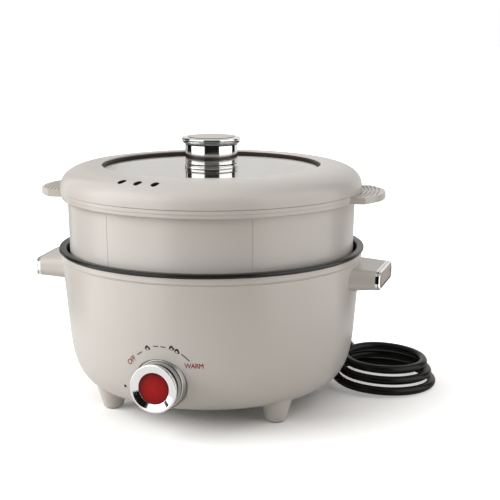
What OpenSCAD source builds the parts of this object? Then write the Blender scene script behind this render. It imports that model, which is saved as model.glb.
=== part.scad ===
// Electric hot pot with a steamer tier and a glass lid.
// The origin is on the table under the pot's axis, the knob faces -Y and the handles lie near the X axis.

/* [Pot] */
// Outer diameter of the pot's rim
rim_d = 280; // [250:1:310]
// Width of the flat rim, from its outer edge to the pot's mouth
rim_w = 6.4; // [5.5:0.1:9]
// Thickness of the rim
rim_t = 3; // [2:0.1:4]
// Height of the rim's top above the table
rim_z = 145; // [138:1:160]
// Thickness of the pot's wall
pot_wall = 1.8; // [1.2:0.1:2.2]
// Thickness of the pot's floor
pot_floor_t = 3; // [2:0.1:4]
// Depth of the pot inside
pot_depth = 87; // [78:1:90]
// Radius between the pot's wall and its floor
pot_corner = 38; // [25:1:42]
// How much the pot narrows from its mouth to the ledge
mouth_taper = 2.4; // [1.5:0.1:4]
// Depth of the steamer's ledge below the rim
ledge_depth = 18; // [14:0.5:24]
// Width of the steamer's ledge
ledge_w = 4; // [3:0.1:6]
// Draft of the pot's wall below the ledge, in degrees
pot_draft = 4; // [1:0.5:6]

/* [Housing] */
// How far the rim stands out over the housing
rim_overhang = 2; // [1:0.1:4]
// Thickness of the housing's wall
wall = 2.4; // [1.8:0.1:2.6]
// Thickness of the housing's floor
floor_t = 2.8; // [2:0.1:4]
// Height of the smooth band round the housing's top
band_h = 6.5; // [4:0.5:9]
// Step between the band and the wall below it
band_step = 0.7; // [0.3:0.1:1.2]
// Draft of the housing's wall, in degrees
body_draft = 4.7; // [3:0.1:5.5]
// Height at which the wall starts to round into the base
shoulder_z = 77; // [68:1:90]
// Height of the flat base above the table
base_z = 15.4; // [13:0.2:20]
// Diameter of the flat base
base_d = 158; // [150:1:166]
// Fullness of the rounding into the base
bowl_full = 3.2; // [2.4:0.1:4]
// Thickness of the seal between the rim and the housing
seal_t = 0.8; // [0.5:0.1:1.5]
// Diameter of the service opening in the base
hatch_d = 118; // [104:1:122]
// Thickness of the base cover
cover_t = 2.3; // [1.8:0.1:3]
// Number of slots in the base cover
slot_count = 16; // [8:1:20]

/* [Feet] */
// Radius of the circle on which the feet stand
foot_ring_r = 98.5; // [94:0.5:102]
// Turn of the feet against the knob, in degrees
foot_turn = 3.5; // [-8:0.5:8]
// Angle of the feet from the front and the back, in degrees
foot_angle = 51; // [40:1:55]
// Diameter of a foot at its bottom
foot_bottom_d = 17; // [15:0.5:20]
// Diameter of a foot where it meets the base
foot_top_d = 26; // [23:0.5:30]
// Diameter of the rubber pad under a foot
pad_d = 12; // [9:0.5:13]

/* [Handles] */
// Turn of the handles against the knob, in degrees
handle_turn = 6.5; // [-8:0.5:10]
// How far a handle reaches past the pot's rim
handle_out = 21.5; // [17:0.5:30]
// Width of a handle's end
handle_w = 61; // [48:1:66]
// Height of a handle's end
handle_h = 16.5; // [13:0.5:20]
// How much wider a handle is at its root
handle_flare = 8; // [4:0.5:14]
// Height of the middle of a handle's end above the table
handle_z = 121.4; // [117:0.2:126]
// Depth of the chrome frame on a handle's end
frame_depth = 3.2; // [2:0.1:5]
// Width of the chrome frame's border
frame_border = 1.4; // [1:0.1:2.5]

/* [Control knob] */
// Height of the knob's axis above the table
knob_z = 47.5; // [44:0.5:54]
// Diameter of the knob's bezel
knob_d = 42; // [37:0.2:43]
// Diameter of the red lens in the knob
lens_d = 27.2; // [22:0.2:30]
// Length of the knob from the dial ring to its bezel
knob_len = 9; // [7:0.2:13]
// Diameter of the dial ring behind the knob
dial_ring_d = 46.6; // [44:0.2:50]
// Thickness of the dial ring
dial_ring_t = 4.2; // [3.6:0.1:5]
// How far the flat pad behind the dial ring stands out from the wall at the knob's axis
dial_pad_out = 0; // [-0.5:0.1:3]
// Diameter of the switch's shaft
shaft_d = 6; // [5:0.1:6.4]

/* [Steamer] */
// Height of the steamer from its foot to its top
steamer_h = 70.2; // [60:0.2:90]
// Thickness of the steamer's wall
steamer_wall = 2; // [1.6:0.1:2.4]
// Gap between the steamer's foot and the pot's wall
steamer_gap = 1.5; // [1:0.1:2.4]
// Draft of the steamer's wall, in degrees
steamer_draft = 1.4; // [0.8:0.1:2]
// Height of the flange round the steamer's top
flange_h = 7.5; // [6:0.1:10]
// Width of that flange outside the wall
flange_w = 5.9; // [4:0.1:7]
// Step between the flange's upper and lower band
flange_step = 0.6; // [0.3:0.1:1]
// Width of the notch in the flange beside a grip
notch_w = 3; // [2:0.1:5]
// How far a steamer grip reaches past the flange
grip_out = 22; // [16:0.5:28]
// Width of a steamer grip
grip_w = 76; // [60:1:90]
// Thickness of a steamer grip
grip_t = 6.3; // [5:0.1:7]
// Turn of the steamer in the pot, in degrees
steamer_turn = 9; // [-30:1:30]
// Diameter of the holes in the steam plate
steam_hole_d = 8; // [5:0.5:9]

/* [Lid] */
// Height of the lid's ring
lid_h = 21.7; // [19:0.1:26]
// Fullness of the lid's dome
lid_full = 2.6; // [2.2:0.1:3]
// Thickness of the lid's ring
lid_wall = 2.5; // [2:0.1:3]
// How far the lid stands out over the steamer's flange
lid_over = 0.5; // [0:0.1:1]
// Width of the lid's ring, from its edge to the window
lid_band = 37.9; // [32:0.1:46]
// Depth of the glass below the lid's inner edge
glass_depth = 3.3; // [3:0.1:6]
// Thickness of the glass
glass_t = 4; // [3:0.1:5]
// Length of the lid's skirt inside the steamer
skirt_len = 6; // [4:0.5:10]
// Turn of the lid on the steamer, in degrees
lid_turn = -9.6; // [-30:0.1:30]
// Length of a steam vent
vent_len = 7.4; // [5:0.2:9]
// Width of a steam vent
vent_w = 3.4; // [2:0.1:4]

/* [Lid knob] */
// Height of the lid knob above the glass
lid_knob_h = 28.4; // [24:0.2:34]
// Diameter of the lid knob's body
lid_knob_d = 47.6; // [42:0.2:50]
// Diameter of the lid knob's top flange
lid_knob_top_d = 53.8; // [51.5:0.2:58]
// Diameter of the inlay in the lid knob's top
inlay_d = 42.4; // [36:0.2:44]
// Thickness of the lid knob's sleeve
sleeve_t = 2; // [1.2:0.1:3]

/* [Cord] */
// Diameter of the mains cord
cord_d = 8; // [7:0.1:8.4]
// Radius of the coil's lowest turn, at the middle of the cord
coil_r = 49; // [44:1:54]
// How much each turn is smaller than the one below it
coil_step = 4.2; // [3:0.1:5]
// Number of turns in the coil
coil_turns = 2.8; // [1.8:0.1:3.8]
// Height of the cord's exit above the table
exit_z = 47; // [44:1:60]
// Length of the strain relief, from inside the housing to its tip
relief_len = 27; // [24:1:36]

/* [Hidden] */

$fn = 96;
// Clearance between bodies that come apart
lift_gap = 0.3;
// Clearance between pieces that seat on each other's curves
seat = 0.05;
// Clearance of a screw in its hole, on the diameter
screw_play = 0.4;
// Overlap of a cut past the face that it starts from
eps = 1;

// Colours as the object shows them
shell_colour = "#d0cbc5";
dark_colour = "#3a3a3b";
chrome_colour = "#c9c9c9";
steel_colour = "#a9a9a6";
taupe_colour = "#a59689";
rubber_colour = "#1c1c1c";
brass_colour = "#c9a24a";

// Levels and radii of the pot
rim_r = rim_d / 2;
mouth_r = rim_r - rim_w;
flange_z = rim_z - rim_t;
ledge_z = rim_z - ledge_depth;
ledge_r = mouth_r - mouth_taper;
ledge_in_r = ledge_r - ledge_w;
pot_floor_z = rim_z - pot_depth;
pot_under_z = pot_floor_z - pot_floor_t;
pot_corner_z = pot_floor_z + pot_corner;
pot_side_r = ledge_in_r - (ledge_z - pot_corner_z) * tan(pot_draft);
pot_flat_r = pot_side_r - pot_corner;
rim_round = 0.8;

// Levels and radii of the housing
body_r = rim_r - rim_overhang;
body_top_z = flange_z - seal_t;
band_z = body_top_z - band_h;
wall_top_r = body_r - band_step;
base_r = base_d / 2;
bowl_steps = 16;
function wall_r(z) = wall_top_r - (band_z - z) * tan(body_draft);
corner_w = wall_r(base_z) - base_r;
function corner_cut(u) = corner_w * (1 - pow(1 - pow(u, bowl_full), 1 / bowl_full));
function bowl_r(z) = wall_r(z) - corner_cut(max(0, (shoulder_z - z) / (shoulder_z - base_z)));
function inner_r(z) =
    wall_r(z) - wall - corner_cut(max(0, (shoulder_z - z) / (shoulder_z - base_z - floor_t)));
dial_pad_y = bowl_r(knob_z) + dial_pad_out;
cover_z = base_z - cover_t;

// The housing's outline, moved in by inset, with its floor raised by lift and its top at top_z
function bowl_profile(inset, lift, top_z) = concat(
    [[0, base_z + lift]],
    [for (i = [0 : bowl_steps])
        let (
            a = 90 - 90 * i / bowl_steps,
            z = shoulder_z - (shoulder_z - base_z - lift) * pow(sin(a), 2 / bowl_full)
        )
        [wall_r(z) - inset - corner_w * (1 - pow(cos(a), 2 / bowl_full)), z]],
    [[wall_top_r - inset, band_z], [body_r - inset, band_z + band_step], [body_r - inset, top_z], [0, top_z]]
);

module turned(points) {
    rotate_extrude() polygon(points);
}

module bowl_solid(inset = 0, lift = 0, extra = 0) {
    turned(bowl_profile(inset, lift, body_top_z + extra));
}

// A tube of outer radius ro and inner radius ri that stands on z
module tube(ro, ri, z, h) {
    translate([0, 0, z]) difference() {
        cylinder(r = ro, h = h);
        translate([0, 0, -eps]) cylinder(r = ri, h = h + 2 * eps);
    }
}

// Puts a shape that points up at the knob's axis, pointing forward from the dial pad
module at_knob() {
    translate([0, -dial_pad_y, knob_z]) rotate([90, 0, 0]) children();
}

// Puts a shape that points up at the cord's exit, pointing backward
relief_hole_d = 12.4;
module at_exit() {
    translate([0, relief_y, exit_z]) rotate([-90, 0, 0]) children();
}

// Fasteners
foot_screw_d = 4;
foot_head_d = 7.4;
foot_head_t = 2.6;
cover_screw_d = 3;
cover_head_d = 5.6;
cover_head_t = 1.8;
cover_screw_count = 4;
handle_screw_d = 4;
handle_head_d = 7;
handle_head_t = 2.2;
handle_screw_gap = 28;
stud_d = 6;

// A pan-head screw with its head's seat at z = 0 and its shank pointing up
module screw(d, head_d, head_t, length) {
    translate([0, 0, -head_t]) cylinder(d = head_d, h = head_t);
    translate([0, 0, -head_t / 2]) cylinder(d = d, h = length + head_t / 2);
}

// Feet
foot_angles = [-foot_angle, foot_angle, 180 - foot_angle, 180 + foot_angle];
pad_proud = 0.8;
pad_t = 2.2;
foot_round = 1.5;
foot_head_z = pad_t + foot_head_t + 1.2;
foot_screw_len = 22;
foot_boss_d = 10;
foot_boss_h = 18;
foot_slope = (foot_top_d - foot_bottom_d) / 2 / base_z;
foot_cut_z = base_z + foot_top_d;

module at_foot(i) {
    rotate([0, 0, foot_turn + foot_angles[i]]) translate([0, -foot_ring_r, 0]) children();
}

module foot(i) {
    top_z = foot_cut_z;
    color(shell_colour) difference() {
        at_foot(i) turned([
            [0, pad_proud],
            [foot_bottom_d / 2 - foot_round, pad_proud],
            [foot_bottom_d / 2 - foot_round / 3, pad_proud + foot_round / 3],
            [foot_bottom_d / 2, pad_proud + foot_round],
            [foot_bottom_d / 2 + foot_slope * top_z, top_z],
            [0, top_z]
        ]);
        translate([0, 0, -seat]) bowl_solid();
        at_foot(i) translate([0, 0, -eps]) cylinder(d = pad_d + screw_play, h = pad_t + eps);
        at_foot(i) translate([0, 0, -eps]) cylinder(d = foot_head_d + screw_play, h = foot_head_z + eps);
        at_foot(i) cylinder(d = foot_screw_d + screw_play, h = top_z + eps);
    }
}

module foot_pads() {
    color(rubber_colour) for (i = [0 : 3]) at_foot(i) cylinder(d = pad_d, h = pad_t);
}

module foot_screws() {
    color(steel_colour) for (i = [0 : 3]) at_foot(i) translate([0, 0, foot_head_z])
        screw(foot_screw_d, foot_head_d, foot_head_t, foot_screw_len);
}

// Base cover
cover_inset = 5;
cover_r = base_r - cover_inset;
cover_spigot = 2;
cover_screw_r = (hatch_d / 2 + cover_r) / 2;
cover_boss_d = 8;
cover_boss_h = 12;
slot_len = 18;
slot_w = 3.2;
slot_r = 38;
cover_ribs = 8;
cover_rib_t = 1.6;

module at_cover_screw() {
    for (i = [0 : cover_screw_count - 1])
        rotate([0, 0, 360 / cover_screw_count * i]) translate([0, cover_screw_r, 0]) children();
}

module base_cover() {
    spigot_r = hatch_d / 2 - lift_gap;
    hub_r = 14;
    color(shell_colour) difference() {
        union() {
            translate([0, 0, cover_z]) cylinder(r = cover_r, h = cover_t);
            tube(spigot_r, spigot_r - wall, cover_z + cover_t / 2, cover_t / 2 + cover_spigot);
            tube(hub_r, stud_d / 2 + screw_play / 2, cover_z + cover_t / 2, cover_t / 2 + cover_spigot);
            for (i = [0 : cover_ribs - 1]) rotate([0, 0, 360 / cover_ribs * (i + 0.5)])
                translate([hub_r - 1, -cover_rib_t / 2, cover_z + cover_t / 2])
                    cube([spigot_r - hub_r, cover_rib_t, cover_t / 2 + cover_spigot]);
        }
        translate([0, 0, cover_z - eps])
            cylinder(d = stud_d + screw_play, h = cover_t + cover_spigot + 2 * eps);
        at_cover_screw() translate([0, 0, cover_z - eps])
            cylinder(d = cover_screw_d + screw_play, h = cover_t + 2 * eps);
        for (i = [0 : slot_count - 1]) rotate([0, 0, 360 / slot_count * i])
            translate([0, slot_r, cover_z - eps])
                vent_slot(slot_len, slot_w, cover_t + cover_spigot + 2 * eps);
    }
}

// A slot with round ends along Y, centred on its middle
module vent_slot(length, w, h) {
    translate([-w / 2, -(length - w) / 2, 0]) cube([w, length - w, h]);
    for (s = [-1, 1]) translate([0, s * (length - w) / 2, 0]) cylinder(d = w, h = h);
}

module base_cover_screws() {
    color(steel_colour) at_cover_screw() translate([0, 0, cover_z])
        screw(cover_screw_d, cover_head_d, cover_head_t, cover_t + cover_boss_h - 3);
}

// Housing, with a flat seat for the dial: sunk in the wall above the knob's axis, proud of it below
dial_skirt = 2.2;
dial_pad_d = dial_ring_d - 2 * dial_skirt;
dial_recess_d = dial_ring_d + 2 * seat;
dial_back = 16;
bushing_d = 9;
lamp_d = 2.4;
lamp_angle = -16.7;
lamp_drop = 8;
lamp_z = knob_z - lamp_drop;

module handle_screw_places() {
    for (side = [-1, 1]) for (s = [-1, 1])
        rotate([0, 0, handle_turn + 90 - 90 * side]) translate([0, s * handle_screw_gap / 2, handle_screw_z])
            rotate([0, 90, 0]) children();
}

module housing() {
    color(shell_colour) difference() {
        union() {
            difference() {
                bowl_solid();
                bowl_solid(wall, floor_t, eps);
            }
            at_knob() translate([0, 0, -wall]) cylinder(d = dial_pad_d, h = wall);
            difference() {
                at_knob() tube(dial_pad_d / 2, dial_pad_d / 2 - wall, -dial_back, dial_back);
                bowl_solid(1.5 * wall, 1.5 * floor_t, eps);
            }
            intersection() {
                bowl_solid(wall / 2, floor_t / 2);
                union() {
                    at_knob() translate([0, 0, -wall]) cylinder(d = dial_recess_d + 2 * wall, h = dial_back);
                    for (i = [0 : 3]) at_foot(i) translate([0, 0, base_z])
                        cylinder(d = foot_boss_d, h = foot_boss_h);
                    at_cover_screw() translate([0, 0, base_z]) cylinder(d = cover_boss_d, h = cover_boss_h);
                }
            }
        }
        translate([0, 0, base_z - eps]) cylinder(d = hatch_d, h = floor_t + 2 * eps);
        for (i = [0 : 3]) at_foot(i) cylinder(d = foot_screw_d, h = foot_head_z + foot_screw_len + eps);
        at_cover_screw() translate([0, 0, base_z - eps]) cylinder(d = cover_screw_d, h = cover_boss_h);
        handle_screw_places() translate([0, 0, mouth_r - 3 * wall])
            cylinder(d = handle_screw_d + screw_play, h = 6 * wall);
        at_knob() cylinder(d = dial_recess_d, h = dial_back);
        at_knob() translate([0, 0, -dial_back - wall]) cylinder(d = dial_pad_d - 2 * wall, h = dial_back);
        at_knob() translate([0, 0, -2 * wall]) cylinder(d = bushing_d + screw_play, h = 4 * wall);
        at_exit() translate([0, 0, -relief_len]) cylinder(d = relief_hole_d, h = 2 * relief_len);
        at_lamp() cylinder(d = lamp_d + 2 * seat, h = 4 * wall, center = true);
    }
}

// The pilot lamp looks out of the wall beside the knob
lamp_wall_r = bowl_r(lamp_z);
module at_lamp() {
    rotate([0, 0, lamp_angle]) translate([0, -lamp_wall_r, lamp_z]) rotate([90, 0, 0]) children();
}

module pilot_lamp() {
    color("#502020") at_lamp() {
        translate([0, 0, -2 * wall]) cylinder(d = lamp_d, h = 2 * wall);
        sphere(d = lamp_d);
        translate([0, 0, -4 * wall]) cylinder(d = lamp_d + 2, h = 2 * wall);
    }
}

// Pot
module inner_pot() {
    steps = 10;
    color(dark_colour) turned(concat(
        [[0, pot_under_z]],
        [for (i = [0 : steps]) let (a = -90 + 90 * i / steps)
            [pot_flat_r + (pot_corner + pot_wall) * cos(a),
                pot_corner_z + (pot_corner + pot_floor_t) * sin(a)]],
        [
            [ledge_in_r + pot_wall, ledge_z - pot_wall],
            [ledge_r + pot_wall, ledge_z - pot_wall],
            [mouth_r + pot_wall - mouth_taper * rim_t / ledge_depth, flange_z],
            [rim_r - rim_round, flange_z],
            [rim_r, flange_z + rim_round],
            [rim_r, rim_z - rim_round],
            [rim_r - rim_round, rim_z],
            [mouth_r + 1.5 * rim_round, rim_z],
            [mouth_r + 0.4 * rim_round, rim_z - 0.4 * rim_round],
            [mouth_r, rim_z - 1.5 * rim_round],
            [ledge_r, ledge_z],
            [ledge_in_r, ledge_z]
        ],
        [for (i = [0 : steps]) let (a = -90 * i / steps)
            [pot_flat_r + pot_corner * cos(a), pot_corner_z + pot_corner * sin(a)]],
        [[0, pot_floor_z]]
    ));
}

module rim_seal() {
    color(rubber_colour) tube(rim_r - rim_round - 0.4, body_r - wall, body_top_z, seal_t);
}

// Heater, clamped by the pot's stud
plate_margin = 13;
plate_r = pot_flat_r - plate_margin;
plate_t = 6;
plate_z = pot_under_z - plate_t;
heater_margin = 20;
heater_r = plate_r - heater_margin;
heater_d = 7.4;
heater_gap_angle = 40;
terminal_len = 14;
terminal_angle = heater_gap_angle / 2 + 5;
spacer_d = 12;
shield_margin = 6;
shield_r = plate_r + shield_margin;
shield_t = 1;
shield_lip = 8;
shield_drop = 15;
shield_z = plate_z - shield_drop;
stud_end = 7;
nut_t = 5;
nut_af = 10;

module heat_plate() {
    color("#b9b9b6") difference() {
        translate([0, 0, plate_z]) cylinder(r = plate_r, h = plate_t);
        translate([0, 0, plate_z]) rotate_extrude() translate([heater_r, 0])
            circle(d = heater_d + screw_play);
    }
}

module heating_element() {
    far = 2 * heater_r;
    half_gap = heater_gap_angle / 2;
    color(steel_colour) {
        difference() {
            translate([0, 0, plate_z]) rotate_extrude() translate([heater_r, 0]) circle(d = heater_d);
            translate([0, 0, plate_z - heater_d]) linear_extrude(2 * heater_d)
                polygon([[0, 0], [far * sin(half_gap), -far * cos(half_gap)],
                    [-far * sin(half_gap), -far * cos(half_gap)]]);
        }
        for (s = [-1, 1]) rotate([0, 0, -90 + s * terminal_angle])
            translate([heater_r, 0, plate_z - terminal_len]) cylinder(d = heater_d / 2, h = terminal_len);
    }
}

module pot_stud() {
    color(steel_colour) translate([0, 0, stud_end]) cylinder(d = stud_d, h = plate_z - stud_end);
}

module stud_spacer() {
    foot_z = shield_z + shield_t;
    color(steel_colour) tube(spacer_d / 2, stud_d / 2 + seat, foot_z, plate_z - foot_z);
}

module stud_nut() {
    color(steel_colour) difference() {
        translate([0, 0, cover_z - nut_t]) cylinder(d = nut_af / cos(30), h = nut_t, $fn = 6);
        translate([0, 0, cover_z - nut_t - eps]) cylinder(d = stud_d + 2 * seat, h = nut_t + 2 * eps);
    }
}

module heat_shield() {
    hole_d = heater_d + 6;
    color("#c4c4c2") difference() {
        turned([
            [stud_d / 2 + seat, shield_z],
            [shield_r, shield_z],
            [shield_r + shield_lip, shield_z + shield_lip],
            [shield_r + shield_lip - shield_t, shield_z + shield_lip],
            [shield_r - shield_t / 2, shield_z + shield_t],
            [stud_d / 2 + seat, shield_z + shield_t]
        ]);
        for (s = [-1, 1]) rotate([0, 0, -90 + s * terminal_angle])
            translate([heater_r, 0, shield_z - eps]) cylinder(d = hole_d, h = shield_t + 2 * eps);
    }
}

sensor_r = heater_r / 2;
module thermostat() {
    can_d = 16;
    can_t = 7;
    tag_w = 6.3;
    tag_t = 0.8;
    tag_gap = 6;
    color("#30302e") translate([sensor_r, 0, plate_z]) {
        translate([0, 0, -can_t]) cylinder(d = can_d, h = can_t);
        for (s = [-1, 1]) translate([-tag_w / 2, s * tag_gap / 2 - tag_t / 2, -can_t - tag_w])
            cube([tag_w, tag_t, tag_w + eps]);
    }
}

fuse_d = 4.4;
fuse_len = 14;
module thermal_fuse() {
    clip_t = 0.8;
    color("#d8d2c4") translate([-sensor_r, 0, plate_z - clip_t]) {
        translate([0, fuse_len / 2, -fuse_d / 2]) rotate([90, 0, 0]) cylinder(d = fuse_d, h = fuse_len);
        translate([-fuse_d / 2, -fuse_len / 3, -fuse_d / 2])
            cube([fuse_d, fuse_len * 2 / 3, fuse_d / 2 + clip_t]);
    }
}

block_w = 34;
block_l = 14;
block_h = 13;
block_y = 34;
block_z = cover_z + cover_t + cover_spigot;
module terminal_block() {
    way_d = 3.6;
    ways = 3;
    pitch = block_w / ways;
    color("#e6e2d6") difference() {
        translate([-block_w / 2, block_y, block_z]) cube([block_w, block_l, block_h]);
        for (i = [0 : ways - 1]) translate([(i - 1) * pitch, block_y - eps, block_z + block_h / 2])
            rotate([-90, 0, 0]) cylinder(d = way_d, h = block_l / 2 - 1);
        for (i = [0 : ways - 1]) translate([(i - 1) * pitch, block_y + block_l / 4, block_z + block_h / 2])
            cylinder(d = way_d, h = block_h);
    }
}

// Switch, dial ring and knob, along the knob's axis from the dial pad
switch_w = 24;
switch_len = 16;
bushing_len = 8;
switch_nut_t = 2.4;
switch_nut_af = 13;
knob_back = dial_ring_t + lift_gap;
knob_front = knob_back + knob_len;
plate_front_t = 2;
hub_d = 11;
knob_wall = 2;
bezel_h = 4.1;
bezel_lip = 1;
bezel_rim = 1.6;
bezel_dish = 1.6;
lens_sink = 0.2;
shaft_end = knob_front - plate_front_t - lift_gap;
shaft_flat = 0.3 * shaft_d;

module rotary_switch() {
    color("#2b2b2b") at_knob() difference() {
        union() {
            translate([-switch_w / 2, -switch_w / 2, -wall - switch_len])
                cube([switch_w, switch_w, switch_len]);
            translate([0, 0, -wall - 1]) cylinder(d = bushing_d, h = wall + 1 + bushing_len - wall);
        }
        translate([0, 0, -wall - switch_len / 2])
            cylinder(d = shaft_d + 2 * lift_gap, h = switch_len + bushing_len);
    }
}

module switch_nut() {
    color(steel_colour) at_knob() difference() {
        cylinder(d = switch_nut_af / cos(30), h = switch_nut_t, $fn = 6);
        translate([0, 0, -eps]) cylinder(d = bushing_d + 2 * seat, h = switch_nut_t + 2 * eps);
    }
}

module dial_ring() {
    bead = 0.8;
    nut_room = 1.5;
    inner_r = switch_nut_af / cos(30) / 2 + nut_room;
    color(steel_colour) {
        at_knob() turned([
            [inner_r, 0],
            [dial_ring_d / 2, 0],
            [dial_ring_d / 2, dial_ring_t - 2 * bead],
            [dial_ring_d / 2 - bead, dial_ring_t - bead],
            [dial_ring_d / 2 - 2 * bead, dial_ring_t],
            [knob_d / 2 - bead, dial_ring_t],
            [knob_d / 2 - 2 * bead, dial_ring_t - bead],
            [inner_r, dial_ring_t - bead]
        ]);
        difference() {
            at_knob() tube(dial_ring_d / 2, dial_pad_d / 2 + seat, -dial_back, dial_back + bead);
            bowl_solid(-seat, -seat);
        }
    }
}

// The shaft's outline, round with one flat, grown by play
module shaft_outline(play) {
    intersection() {
        circle(d = shaft_d + 2 * play);
        translate([-shaft_d, -shaft_d]) square([2 * shaft_d, 2 * shaft_d - shaft_flat - shaft_d / 2 + play]);
    }
}

module switch_shaft() {
    color(steel_colour) at_knob() {
        translate([0, 0, -wall - switch_len / 2 + lift_gap])
            cylinder(d = shaft_d, h = switch_len / 2 + bushing_len - lift_gap);
        translate([0, 0, bushing_len - wall - seat]) linear_extrude(shaft_end - bushing_len + wall + seat)
            shaft_outline(0);
    }
}

module knob() {
    skirt_inset = 0.5;
    edge = 0.4;
    skirt_r = knob_d / 2 - skirt_inset;
    hub_back = bushing_len - wall + lift_gap;
    color(steel_colour) at_knob() difference() {
        union() {
            difference() {
                turned([
                    [0, knob_back],
                    [skirt_r - edge, knob_back],
                    [skirt_r, knob_back + edge],
                    [skirt_r - edge, knob_front],
                    [0, knob_front]
                ]);
                translate([0, 0, knob_back - eps])
                    cylinder(r = skirt_r - knob_wall, h = knob_len - plate_front_t + eps);
            }
            translate([0, 0, hub_back]) cylinder(d = hub_d, h = knob_front - hub_back - eps / 2);
        }
        translate([0, 0, hub_back - eps]) linear_extrude(shaft_end - hub_back + eps + lift_gap / 2)
            shaft_outline(seat);
    }
}

module knob_bezel() {
    r = knob_d / 2;
    top = knob_front + bezel_h;
    color(chrome_colour) at_knob() turned([
        [lens_d / 2 + seat, knob_front],
        [r - bezel_lip, knob_front],
        [r, knob_front + bezel_lip],
        [r, top - bezel_rim / 2],
        [r - 0.15 * bezel_rim, top - 0.15 * bezel_rim],
        [r - bezel_rim / 2, top],
        [r - bezel_rim, top - 0.15 * bezel_rim],
        [lens_d / 2 + seat, top - bezel_dish]
    ]);
}

module knob_lens() {
    r = lens_d / 2;
    edge = knob_front + bezel_h - bezel_dish - lens_sink;
    crown = 0.9;
    steps = 8;
    sphere_r = (r * r + crown * crown) / (2 * crown);
    color("#a51e21") at_knob() turned(concat(
        [[0, knob_front], [r, knob_front]],
        [for (i = [0 : steps]) let (x = r * (1 - i / steps))
            [x, edge + sqrt(sphere_r * sphere_r - x * x) - (sphere_r - crown)]]
    ));
}

// Handles
handle_tip = rim_r + handle_out;
handle_bury = 8;
handle_root = mouth_r - handle_bury;
handle_root_w = handle_w + handle_flare;
handle_deepen = 5;
handle_root_h = handle_h + handle_deepen;
handle_rise = 0.8;
handle_round = 4.2;
handle_screw_drop = 4.6;
handle_screw_z = handle_z - handle_screw_drop;
grip_end = handle_tip - frame_depth;
handle_screw_len = 18;
slab = 0.1;

// A slab across a handle at distance x, with round corners
module handle_slab(x, w, h, z, round) {
    translate([x, 0, z]) rotate([90, 0, 90]) linear_extrude(slab) rounded(w, h, round);
}

module rounded(w, h, r) {
    hull() for (sx = [-1, 1]) for (sy = [-1, 1])
        translate([sx * (w / 2 - r), sy * (h / 2 - r)]) circle(r = r, $fn = 32);
}

// Width, height and middle of a handle at distance x from the pot's axis
function handle_share(x) = (handle_tip - x) / (handle_tip - handle_root);
function handle_width(x) = handle_w + handle_flare * handle_share(x);
function handle_height(x) = handle_h + (handle_root_h - handle_h) * handle_share(x);
function handle_mid(x) = handle_z + handle_rise * handle_share(x);

module handle(turn) {
    color(shell_colour) rotate([0, 0, handle_turn + turn]) difference() {
        hull() {
            handle_slab(handle_root, handle_root_w, handle_root_h, handle_z + handle_rise, handle_round);
            handle_slab(grip_end - slab, handle_width(grip_end), handle_height(grip_end),
                handle_mid(grip_end), handle_round);
        }
        translate([0, 0, -seat]) bowl_solid(-seat, 0, 2 * eps);
        for (s = [-1, 1]) translate([mouth_r - wall, s * handle_screw_gap / 2, handle_screw_z])
            rotate([0, 90, 0]) cylinder(d = handle_screw_d, h = handle_screw_len);
    }
}

module handle_frame(turn) {
    w = handle_width(grip_end);
    h = handle_height(grip_end);
    color(chrome_colour) rotate([0, 0, handle_turn + turn]) difference() {
        translate([grip_end, 0, handle_mid(grip_end)]) rotate([90, 0, 90]) linear_extrude(frame_depth)
            rounded(w, h, handle_round);
        translate([grip_end + frame_depth / 3, 0, handle_mid(grip_end)]) rotate([90, 0, 90])
            linear_extrude(frame_depth)
                rounded(w - 2 * frame_border, h - 2 * frame_border, handle_round - frame_border);
    }
}

module handle_insert(turn) {
    sink = 0.3;
    w = handle_width(grip_end) - 2 * frame_border - 2 * seat;
    h = handle_height(grip_end) - 2 * frame_border - 2 * seat;
    color(taupe_colour) rotate([0, 0, handle_turn + turn])
        translate([grip_end + frame_depth / 3, 0, handle_mid(grip_end)]) rotate([90, 0, 90])
            linear_extrude(frame_depth * 2 / 3 - sink) rounded(w, h, handle_round - frame_border - seat);
}

module handle_screws() {
    inner_r = wall_r(handle_screw_z - handle_head_d / 2) - wall;
    edge_y = (handle_screw_gap + handle_head_d) / 2;
    head_x = sqrt(inner_r * inner_r - edge_y * edge_y) - seat;
    color(steel_colour) handle_screw_places() translate([0, 0, head_x])
        screw(handle_screw_d, handle_head_d, handle_head_t, handle_screw_len - 2 * wall);
}

// Strain relief and the wiring inside
relief_inside = 7;
relief_y = inner_r(exit_z) - relief_inside;
relief_tip = relief_y + relief_len;
relief_collar_d = 16;
relief_wall = 0.8;
relief_tip_d = cord_d + 2 * relief_wall;
groove_w = 1.2;

module strain_relief() {
    collar_end = inner_r(exit_z - relief_collar_d / 2) - relief_y - seat;
    flange_at = bowl_r(exit_z + relief_collar_d / 2) - relief_y + seat;
    ribs = 4;
    flange_t = 2;
    flange_draft = 0.6;
    taper_from = flange_at + flange_t;
    taper_len = relief_len - taper_from;
    pitch = taper_len / (ribs + 0.5);
    function taper_r(w) = (relief_hole_d - (relief_hole_d - relief_tip_d) * (w - taper_from) / taper_len) / 2;
    color(rubber_colour) at_exit() turned(concat(
        [
            [0, 0],
            [relief_collar_d / 2, 0],
            [relief_collar_d / 2, collar_end],
            [relief_hole_d / 2 - seat, collar_end],
            [relief_hole_d / 2 - seat, flange_at],
            [relief_collar_d / 2, flange_at],
            [relief_collar_d / 2 - flange_draft, taper_from],
            [taper_r(taper_from), taper_from]
        ],
        [for (i = [0 : ribs - 1]) let (w = taper_from + pitch * (i + 0.5)) each [
            [taper_r(w), w],
            [taper_r(w) - groove_w / 2, w + 0.3],
            [taper_r(w) - groove_w / 2, w + groove_w],
            [taper_r(w + groove_w + 0.3), w + groove_w + 0.3]
        ]],
        [[relief_tip_d / 2, relief_len], [0, relief_len]]
    ));
}

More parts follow.
